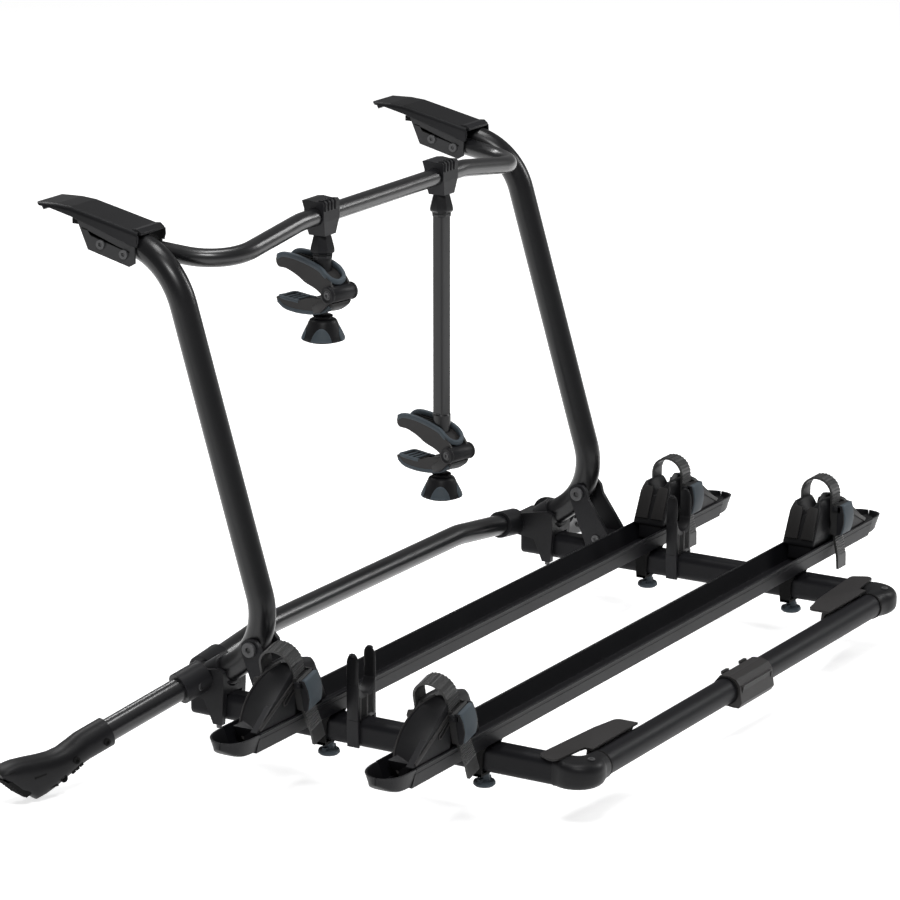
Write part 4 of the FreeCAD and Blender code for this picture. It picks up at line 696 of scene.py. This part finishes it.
def collarShape(arm, top, sizes):
    # collar with eight faces, the tube below it and its dome in the jaw
    tilt = math.radians(sizes["collarTurn"])
    across, ahead = (math.cos(tilt), math.sin(tilt), 0), (-math.sin(tilt), math.cos(tilt), 0)
    rings = [((0, 0, top - drop), across, ahead, radius, radius, 2) for drop, radius in sizes["collar"]]
    collar = [loft(rings, 8)]
    if arm == "long":
        tube = [((0, 0, z), (1, 0, 0), (0, 1, 0), 8.2, 8.2, 7) for z in (top - 26, 44)]
        collar.append(loft(tube, 48))
        collar.append(turnedShape(sizes["longDome"], 36))
    else:
        neck = [(0, top - 25), (11.0, top - 25), (11.0, top - 29), (10.4, top - 29.4)]
        collar.append(turnedShape([*neck, *sizes["shortDome"]], 36))
    return joined(*collar)


def addUpperJaw(arm, place, body, sizes):
    # side walls, a sunk bed and a grey band round the whole top edge
    turned = arcPoints(sizes["pivot"], sizes["barrel"], [-50 - 26 * n for n in range(6)])
    low = smoothLine(sizes["upperLow"]) + [Vector(p) for p in turned]
    high = smoothLine(sizes["crest"])
    depth, bed, side = sizes["bedDepth"], sizes["bed"], sizes["wall"] - 2.0
    settle(f"{arm}_upperJawShell", jawShell(low, high, sizes, depth), place, body, "plastic_dark_grey",
           [f"{arm}_arm_upper_jaw"], smooth=36)
    near = [(-side, y, z - 1.4) for y, z in sizes["crest"][1:-1]]
    loop = bothSides([(0, 61.4, 33.6), (-side + 4, 61.2, 34.4)] + near
                     + [(-side + 3.4, -24.6, 22.2), (0, -27.4, 19.4)])
    band = sweep(smoothLine(loop, 6), 2.5, 3.3)
    settle(f"{arm}_upperGrip", band, place, body, "plastic_blue_grey", smooth=50)
    bedRibs = []
    for y in sizes["bedRibs"]:
        lift = [p for p in high if p[0] <= y][0][1] - depth
        line = [(y - 1.1, lift - 1), (y - 1.1, lift + 1.2), (y + 1.1, lift + 1.2), (y + 1.1, lift - 1)]
        bedRibs.append(prism(line, -bed, bed))
    settle(f"{arm}_jawBed", joined(*bedRibs), place, body, "rubber_black")


def addLowerJaw(arm, place, body, sizes):
    # walls that sweep down from the pivot, a grey band under them, a lip and ribs round the pad
    top, under = smoothLine(sizes["lowerTop"]), smoothLine(sizes["lowerUnder"])
    settle(f"{arm}_lowerJawShell", jawShell(under, top, sizes, 1.5), place, body, "plastic_dark_grey",
           [f"{arm}_arm_lower_jaw"], smooth=36)
    ears = []
    for way in (-1, 1):
        turned = arcPoints(sizes["pivot"], sizes["earRadius"], [20 + 20 * n for n in range(13)])
        ear = prism(outlineOf(turned, sizes["ear"]), way * 15.6, way * 19)
        roundEdges(ear, 0.8, 2, 40)
        ears.append(ear)
    settle(f"{arm}_lowerEars", joined(*ears), place, body, "plastic_dark_grey", smooth=36)
    side, bed = sizes["wall"] - 2.0, sizes["bed"]
    bands = []
    for x in (-side, side):
        belly = [(x, y, z + 1.8) for y, z in sizes["belly"]]
        bands.append(sweep(smoothLine(belly, 6), 2.4, 2.7))
    lipLine = bothSides([(-side, 26, -10.6), (-side, 38, -10.4), (-side, 52, -9.6),
                         (-side + 2, 59, -9.4), (0, 61.6, -10.4)])
    lip = sweep(smoothLine(lipLine, 6), 2.3, 2.0)
    noseLine = bothSides([(-side, 59.5, -14.6), (-side + 4, 61.4, -13.6), (0, 62, -13.4)])
    nose = sweep(smoothLine(noseLine), 2.2, 2.8)
    ribs = []
    for y in sizes["gripRibs"]:
        ribs.append(prism([(y, -12.5), (y + 0.6, -8.6), (y + 2.2, -8.6), (y + 3.0, -12.5)], -bed, bed))
    settle(f"{arm}_lowerGrip", joined(lip, nose, *bands, *ribs), place, body, "plastic_blue_grey", smooth=50)
    settle(f"{arm}_lowerPad", prism(sizes["pad"], -bed, bed), place, body, "rubber_black")


def addPivot(arm, place, sizes):
    # a smooth barrel with a washer and a socket screw at each end
    swing = Matrix.Translation((0, *jawSizes["pivot"]))
    barrel = moved(turnedShape(sizes["barrel"], 40), swing @ turnAbout("Y", 90))
    settle(f"{arm}_pivotBarrel", barrel, place, f"{arm}_arm_swivel", "plastic_black", smooth=34)
    caps, screws = [], []
    for way in (-1, 1):
        stand = swing @ Matrix.Translation((way * sizes["end"], 0, 0)) @ turnAbout("Y", way * 90)
        caps.append(moved(turnedShape(sizes["cap"], 40), stand))
        screws.append(moved(turnedShape(sizes["screw"], 32), stand))
    settle(f"{arm}_pivotCaps", joined(*caps), place, f"{arm}_arm_lower", "plastic_black", smooth=34)
    settle(f"{arm}_pivotScrews", joined(*screws), place, f"{arm}_arm_lower", "screw_dark", smooth=34)


def addKnob(arm, place, body, sizes):
    # torque knob: neck rings, a four lobed cone and half oval pads standing on its foot
    start = sizes["start"]
    flank = [(r, z, min(1.0, max(0.0, (-30 - z) / 10))) for r, z in sizes["flank"]]
    shell = lobed([*flank, *sizes["underside"]], sizes["lobes"], sizes["sink"], start)
    neck = turnedShape(sizes["neck"], 40)
    settle(f"{arm}_knobShell", joined(shell, neck), place, body, "plastic_black",
           [f"{arm}_arm_torque_knob"], smooth=38)
    patches = []
    for n in range(sizes["lobes"]):
        patches.append(knobPatch(start + math.pi / 2 * n, math.radians(sizes["patchHalf"]),
                                 sizes["patchFoot"], sizes["patchTall"]))
    settle(f"{arm}_knobGrips", joined(*patches), place, body, "plastic_blue_grey", smooth=60)


for arm, (armX, pivotZ) in armSizes["arms"].items():
    crossY, crossZ = armSizes["cross"]
    headPlace = spot(armX, crossY, crossZ) @ metres
    place = spot(armX, crossY, pivotZ) @ turnAbout("Z", armSizes["turn"]) @ metres
    collar = collarShape(arm, armSizes["collarTop"] - pivotZ - 0.4, armSizes)
    settle(f"{arm}_headRibs", headRibs(armSizes), headPlace, f"{arm}_arm_head_set", "plastic_black")
    settle(f"{arm}_collar", collar, place, f"{arm}_arm_swivel", armSizes["collarSlot"][arm],
           [f"{arm}_arm_tube"], smooth=20)
    addUpperJaw(arm, place, f"{arm}_arm_swivel", jawSizes)
    addLowerJaw(arm, place, f"{arm}_arm_lower", jawSizes)
    addPivot(arm, place, pivotSizes)
    addKnob(arm, place, f"{arm}_arm_knob", knobSizes)
print("bicycle arms made")

# hooks: a dark strip under each skirt that paints the shade of its stepped groove, and the rim round the
# rear arch
hookSizes = dict(
    mid=358, half=28, faceOut=0.35, rimRadius=1.1,
    grooveShade=((-47, -13.2), (-54, -14.6), (-58, -20.4), (-112, -34.0), (-112, -35.6), (-59.2, -22),
         (-55, -16), (-47, -14.6)),
    rim=((-122.6, -15), (-123, -22), (-121.5, -27.4), (-112, -26.2), (-67, -12.2), (-36, -3.4)))
for hand, sign in hands:
    sizes = hookSizes
    place = sideTurn(sign) @ metres
    shadeStrips, rims = [], []
    # each dark strip on the plate's face is painted shade for the stepped groove under the skirt; nothing is
    # cut
    for side in (-1, 1):
        face = sizes["mid"] + side * (sizes["half"] - 0.5)
        shadeStrips.append(prism(sizes["grooveShade"], face - side * 0.4, face + side * sizes["faceOut"]))
        face = sizes["mid"] + side * (sizes["half"] - 1.2)
        rims.append(bar([(face, y, z) for y, z in sizes["rim"]], sizes["rimRadius"]))
    settle(f"{hand}_hookGrooveShade", joined(*shadeStrips), place, "door_frame", "rubber_black")
    settle(f"{hand}_hookRim", joined(*rims), place, "door_frame", "plastic_black", smooth=50)
print("hooks trimmed")

# trays: rolled lips and side grooves along both edges
traySizes = dict(bottom=-529.5, height=22.5, topHalf=25, baseHalf=19.5, lip=1.5, groove=0.72,
                 spans=dict(inner=(-551, 533), outer=(-559, 553)))
for trayName, trayY in trays:
    sizes = traySizes
    low, high = sizes["spans"][trayName]
    strips = []
    for side in (-1, 1):
        edge = (trayY + side * (sizes["topHalf"] - 1.0), sizes["bottom"] + sizes["height"] - 0.2)
        strips.append(prism(arcPoints(edge, sizes["lip"], range(0, 360, 30)), low, high))
        y = trayY + side * (sizes["baseHalf"] + (sizes["topHalf"] - sizes["baseHalf"]) * sizes["groove"])
        z = sizes["bottom"] + sizes["height"] * sizes["groove"]
        strips.append(prism([(y - side * 0.4, z - 0.6), (y + side * 0.25, z - 0.4),
                             (y + side * 0.35, z + 0.4), (y - side * 0.2, z + 0.6)], low, high))
    settle(f"{trayName}_trayLips", joined(*strips), metres, f"{trayName}_tray_set", "tray_black", smooth=40)
print("trays trimmed")

# rear bar: seams where it enters its elbows and sleeve, a bare badge place and two bumps
barSizes = dict(
    y=-694.5, z=-550, sleeveHalf=41, seam=339, bumps=(-22, 22), bumpRise=16.2,
    seamRing=((14.8, -1.6), (16.2, -1.2), (16.2, 1.2), (14.8, 1.6)),
    sleeveRing=((14.8, -1.2), (16.6, -0.9), (16.6, 0.9), (14.8, 1.2)),
    badge=((-34, -10.5), (-36, -8.5), (-36, 8.5), (-34, 10.5),
           (34, 10.5), (36, 8.5), (36, -8.5), (34, -10.5)),
    badgeOut=18.4, badgeDrop=2.6, badgeTilt=math.atan2(3, 21))


def barRing(profile, x):
    # a thin ring round the rear bar
    stand = Matrix.Translation((x, barSizes["y"], barSizes["z"])) @ turnAbout("Y", 90)
    return moved(turnedShape(profile, 40), stand)


trim = [barRing(barSizes["seamRing"], side * barSizes["seam"]) for side in (-1, 1)]
trim += [barRing(barSizes["sleeveRing"], side * (barSizes["sleeveHalf"] + 0.6)) for side in (-1, 1)]
settle("barSeams", joined(*trim), metres, "platform", "rubber_black", smooth=40)
badge = pocketed(barSizes["badge"], 1.0, -2.0, "z", 1.3, 0.9)
badgeY, badgeZ = barSizes["y"] - barSizes["badgeOut"], barSizes["z"] - barSizes["badgeDrop"]
badgeAt = Matrix.Translation((0, badgeY, badgeZ))
badgeFrame = badgeAt @ Matrix.Rotation(barSizes["badgeTilt"], 4, "X") @ turnAbout("X", 90)
settle("badgePlace", badge, metres @ badgeFrame, "platform", "plastic_dark_grey")
bumps = []
for x in barSizes["bumps"]:
    bump = prism([(x - 8, 9.5), (x - 6.5, 13.5), (x + 6.5, 13.5), (x + 8, 9.5)], -2, 2, "z")
    roundEdges(bump, 0.8, 2)
    stand = Matrix.Translation((0, barSizes["y"], barSizes["z"] + barSizes["bumpRise"]))
    bumps.append(moved(bump, stand))
settle("sleeveBumps", joined(*bumps), metres, "platform", "plastic_dark_grey")
print("rear bar trimmed")

# tube clips: a block with a round seat, skirts down the beam and two prongs that hold the tube
clipSizes = dict(x=375, y=-409.5, half=7.5, beamTop=-534, skirt=-565, seat=-488.9, top=-455.8, inner=16.1,
                 wall=3.0, beamHalf=15.3, slots=((-11, -2.5), (2.5, 11)), ribs=(-14.5, -1.2, 0.4, 12.8),
                 ribWide=1.3)


def clipBlock(sizes):
    inner, seat, beamTop, half = sizes["inner"], sizes["seat"], sizes["beamTop"], sizes["half"]
    outer = inner + sizes["wall"]
    seatLine = arcPoints((0, seat), inner, [-8 - 164 * n / 18 for n in range(19)])
    right = [(outer, beamTop - 1), (outer + 0.3, seat - 4), (outer, seat - 2)]
    left = [(-outer, seat - 2), (-outer - 0.3, seat - 4), (-outer, beamTop - 1)]
    block = prism(right + seatLine + left, -half, half, "y")
    roundEdges(block, 0.9, 2, 40)
    skirts = []
    for side in (-1, 1):
        beamFace = side * sizes["beamHalf"]
        line = [(beamFace, sizes["skirt"]), (beamFace, beamTop + 0.3),
                (side * (outer + 0.2), beamTop + 0.3), (side * (outer - 0.8), sizes["skirt"])]
        skirts.append(prism(line, -half, half, "y"))
    return [block, *skirts]


def clipProng(side, sizes):
    # a bowed finger, narrower at its tip, and the bead that the tube snaps past
    rings = []
    for n in range(15):
        share = n / 14
        z = sizes["seat"] - 6 + (sizes["top"] - sizes["seat"] + 6) * share
        bow = 1.5 * math.sin(math.pi * min(1, share * 1.15))
        if share > 0.8:
            bow -= 1.6 * (share - 0.8) / 0.2
        wide = sizes["half"]
        if share >= 0.72:
            wide *= math.sqrt(max(0.12, 1 - ((share - 0.72) / 0.30) ** 2))
        centre = (side * (sizes["inner"] + 1.5 + 0.5 * bow), 0, z)
        rings.append((centre, (1, 0, 0), (0, 1, 0), 1.5 + 0.25 * bow, wide, 3.0))
    bead = bmesh.new()
    bmesh.ops.create_uvsphere(bead, u_segments=20, v_segments=12, radius=1)
    beadAt = Matrix.Translation((side * (sizes["inner"] + 2.2), 0, sizes["top"] - 1.6))
    return [loft(rings, 24), moved(bead, beadAt @ Matrix.Diagonal((2.6, 4.2, 2.4, 1)))]


for hand, sign in hands:
    sizes = clipSizes
    place = metres @ Matrix.Translation((sign * sizes["x"], sizes["y"], 0))
    pieces = clipBlock(sizes) + clipProng(-1, sizes) + clipProng(1, sizes)
    settle(f"{hand}_clipShell", joined(*pieces), place, "platform", "plastic_black",
           onceFor(hand, "tube_clips"), smooth=40)
    beamTop, seat, face = sizes["beamTop"], sizes["seat"], -sizes["half"]
    slots, ribs = [], []
    # the slots are not cut; each is a dark strip on the clip's face that paints the shade inside it
    for low, high in sizes["slots"]:
        line = [(low, beamTop + 4), (low, seat - 20), (high, seat - 20), (high, beamTop + 4)]
        slots.append(prism(line, face - 0.15, face + 1, "y"))
    for low in sizes["ribs"]:
        high = low + sizes["ribWide"]
        line = [(low, beamTop + 2), (low, seat - 17), (high, seat - 17), (high, beamTop + 2)]
        ribs.append(prism(line, face - 0.5, face + 1, "y"))
    settle(f"{hand}_clipSlotShade", joined(*slots), place, "platform", "rubber_black")
    settle(f"{hand}_clipRibs", joined(*ribs), place, "platform", "plastic_dark_grey")
print("tube clips made")

# tray saddles: two thin tapering cheeks and a narrow floor round each beam
saddleSizes = dict(x=375, out=18.2, wall=2.0, top=-529.5, waist=-543, floor=-570.2, floorTop=-567,
                   topHalf=15, waistHalf=8.5, floorHalf=6.5)
for trayName, trayY in trays:
    sizes = saddleSizes
    topHalf, waistHalf, floorHalf = sizes["topHalf"], sizes["waistHalf"], sizes["floorHalf"]
    cheek = [(trayY - topHalf, sizes["top"]), (trayY + topHalf, sizes["top"]),
             (trayY + waistHalf, sizes["waist"]), (trayY + floorHalf, sizes["floor"]),
             (trayY - floorHalf, sizes["floor"]), (trayY - waistHalf, sizes["waist"])]
    floor = [(trayY - floorHalf, sizes["floor"]), (trayY + floorHalf, sizes["floor"]),
             (trayY + floorHalf, sizes["floorTop"]), (trayY - floorHalf, sizes["floorTop"])]
    plates = []
    for hand, sign in hands:
        for side in (-1, 1):
            face = sign * sizes["x"] + side * sizes["out"]
            plates.append(prism(cheek, face - side * sizes["wall"], face))
        plates.append(prism(floor, sign * sizes["x"] - sizes["out"], sign * sizes["x"] + sizes["out"]))
    settle(f"{trayName}_saddleShells", joined(*plates), metres, f"{trayName}_tray_set", "rubber_black",
           [f"{trayName}_tray_saddles"])
print("saddles made")

# elbows: a swelling bend from each beam into the rear bar, with a collar at its bar end
elbowSizes = dict(turnX=350, turnY=-668, reach=25, grow=1.5, swell=5.5, wide=15.9, wideSwell=7.0, high=16.0,
                  z=-550, beamEnd=(375, -664), barY=-694.5, collar=((341, 16.2), (338.6, 15.4)))
for hand, sign in hands:
    sizes = elbowSizes
    upward, wide, high = (0, 0, 1), sizes["wide"], sizes["high"]
    rings = [((*sizes["beamEnd"], sizes["z"]), (1, 0, 0), upward, wide, high, 5)]
    for n in range(13):
        share = n / 12
        angle = math.pi / 2 * share
        swell = math.sin(2 * angle)
        reach = sizes["reach"] + sizes["grow"] * share + sizes["swell"] * swell
        way = Vector((math.cos(angle), -math.sin(angle), 0))
        centre = Vector((sizes["turnX"], sizes["turnY"], sizes["z"])) + way * reach
        rings.append((centre, way, upward, wide + sizes["wideSwell"] * swell, high, 5 - 2.7 * share ** 0.6))
    for x, radius in sizes["collar"]:
        rings.append(((x, sizes["barY"], sizes["z"]), (0, -1, 0), upward, radius, radius, 2))
    settle(f"{hand}_elbowShell", loft(rings, 40), sideTurn(sign) @ metres, "platform", "plastic_black",
           onceFor(hand, "corner_elbows"), smooth=44)
print("elbows made")

# tray scoops: round noses with a thin wall, open above
scoopSizes = dict(length=42, topHalf=25.2, baseHalf=19.6, height=22.7, wall=2.0, bottom=-529.5,
                  ends=dict(inner=(-9, 542), outer=(-3, 556)), cornerPower=0.55,
                  along=(0, 6, 12, 18, 24, 29, 33, 36.5, 39, 40.6, 41.4, 41.8, 42))


def scoopRing(u, sizes):
    # a section of the nose: its outer line, then its inner line back again
    share = u / sizes["length"]
    power = sizes["cornerPower"]
    plan = math.sqrt(1 - 0.9985 * share ** 3.4)
    top = sizes["height"] - 2.0 * share ** 2
    floor = 12.5 * share ** 3.6
    outer, inner = [], []
    for line, wall in ((outer, 0), (inner, sizes["wall"])):
        x = u - wall * share
        topHalf, baseHalf = sizes["topHalf"] * plan - wall * plan, sizes["baseHalf"] * plan - wall * plan
        line.append((x, -topHalf, top))
        for n in range(9):
            angle = math.radians(180 + 22.5 * n)
            y = baseHalf * math.copysign(abs(math.cos(angle)) ** power, math.cos(angle))
            line.append((x, y, floor + wall + 5.5 * (1 - abs(math.sin(angle)) ** power)))
        line.append((x, topHalf, top))
    return outer + inner[::-1]


for trayName, trayY in trays:
    sizes = scoopSizes
    middle, half = sizes["ends"][trayName]
    for hand, sign in hands:
        rings = [scoopRing(u, sizes) for u in sizes["along"]]
        place = metres @ Matrix.Translation((middle + sign * half, trayY, sizes["bottom"])) @ sideTurn(sign)
        settle(f"{trayName}_{hand}_scoopShell", ringLoft(rings), place, f"{trayName}_tray_set",
               "plastic_black", onceFor(hand, f"{trayName}_tray_scoops"), smooth=40)
print("scoops made")

# stage: pale floor, soft lamps, the photograph's camera
stageSizes = dict(floorDrop=-0.6135, floorHalf=30, eye=(-4.2089, -2.8397, 1.016),
                  right=(0.5168, -0.8561, 0.0), up=(0.2258, 0.1363, 0.9646), sensor=36, lens=171.06,
                  floorColour=(0.86, 0.86, 0.86, 1), floorRough=0.9, floorGlow=0.72,
                  skyStrength=0.2, aim=(0, -0.33, -0.3))
white = (1, 1, 1, 1)
floorShape = bmesh.new()
bmesh.ops.create_grid(floorShape, x_segments=1, y_segments=1, size=stageSizes["floorHalf"],
                      matrix=Matrix.Translation((0, 0, stageSizes["floorDrop"])))
floorData = bpy.data.meshes.new("floor")
floorShape.to_mesh(floorData)
floorShape.free()
floorPiece = bpy.data.objects.new("floor", floorData)
bpy.context.scene.collection.objects.link(floorPiece)

# the floor's paper shines for the camera, in reflections and through clear things
paper = bpy.data.materials.new("paperFloor")
paper.use_nodes = True
paperTree = paper.node_tree
paperShader = paperTree.nodes["Principled BSDF"]
paperShader.inputs["Base Color"].default_value = stageSizes["floorColour"]
paperShader.inputs["Roughness"].default_value = stageSizes["floorRough"]
paperShader.inputs["Specular IOR Level"].default_value = 0.0
paperShader.inputs["Emission Color"].default_value = white
rays = paperTree.nodes.new("ShaderNodeLightPath")
seen = mathNode(paperTree, "MAXIMUM")
through = mathNode(paperTree, "MAXIMUM")
glow = mathNode(paperTree, "MULTIPLY", second=stageSizes["floorGlow"])
connect(paperTree, (rays, "Is Camera Ray", seen, 0), (rays, "Is Glossy Ray", seen, 1),
        (seen, 0, through, 0), (rays, "Is Transmission Ray", through, 1),
        (through, 0, glow, 0), (glow, 0, paperShader, "Emission Strength"))
floorData.materials.append(paper)

world = bpy.data.worlds.new("studio")
bpy.context.scene.world = world
world.use_nodes = True
sky = world.node_tree.nodes["Background"]
sky.inputs["Color"].default_value = white
sky.inputs["Strength"].default_value = stageSizes["skyStrength"]

lamps = {
    "keyLamp": dict(at=(-2.4, -1.6, 2.8), size=(1.2, 0.5), power=60),
    "sideLamp": dict(at=(2.6, -2.2, 1.4), size=(0.6, 1.4), power=34),
    "backLamp": dict(at=(0.8, 2.4, 2.2), size=(2.0, 0.4), power=40),
    "topLamp": dict(at=(0.0, -0.3, 3.2), size=(1.8, 0.6), power=46),
}
for name, lamp in lamps.items():
    light = bpy.data.lights.new(name, "AREA")
    light.shape = "RECTANGLE"
    light.size, light.size_y = lamp["size"]
    light.energy = lamp["power"]
    holder = bpy.data.objects.new(name, light)
    holder.location = lamp["at"]
    aim = Vector(stageSizes["aim"]) - Vector(lamp["at"])
    holder.rotation_euler = aim.to_track_quat("-Z", "Y").to_euler()
    bpy.context.scene.collection.objects.link(holder)

camera = bpy.data.objects.new("camera", bpy.data.cameras.new("camera"))
bpy.context.scene.collection.objects.link(camera)
bpy.context.scene.camera = camera
right, up = Vector(stageSizes["right"]), Vector(stageSizes["up"])
turn = Matrix((right, up, right.cross(up))).transposed()
camera.matrix_world = Matrix.Translation(stageSizes["eye"]) @ turn.to_4x4()
camera.data.sensor_width = stageSizes["sensor"]
camera.data.lens = stageSizes["lens"]
bpy.context.scene.view_settings.view_transform = "Standard"
print("stage set")
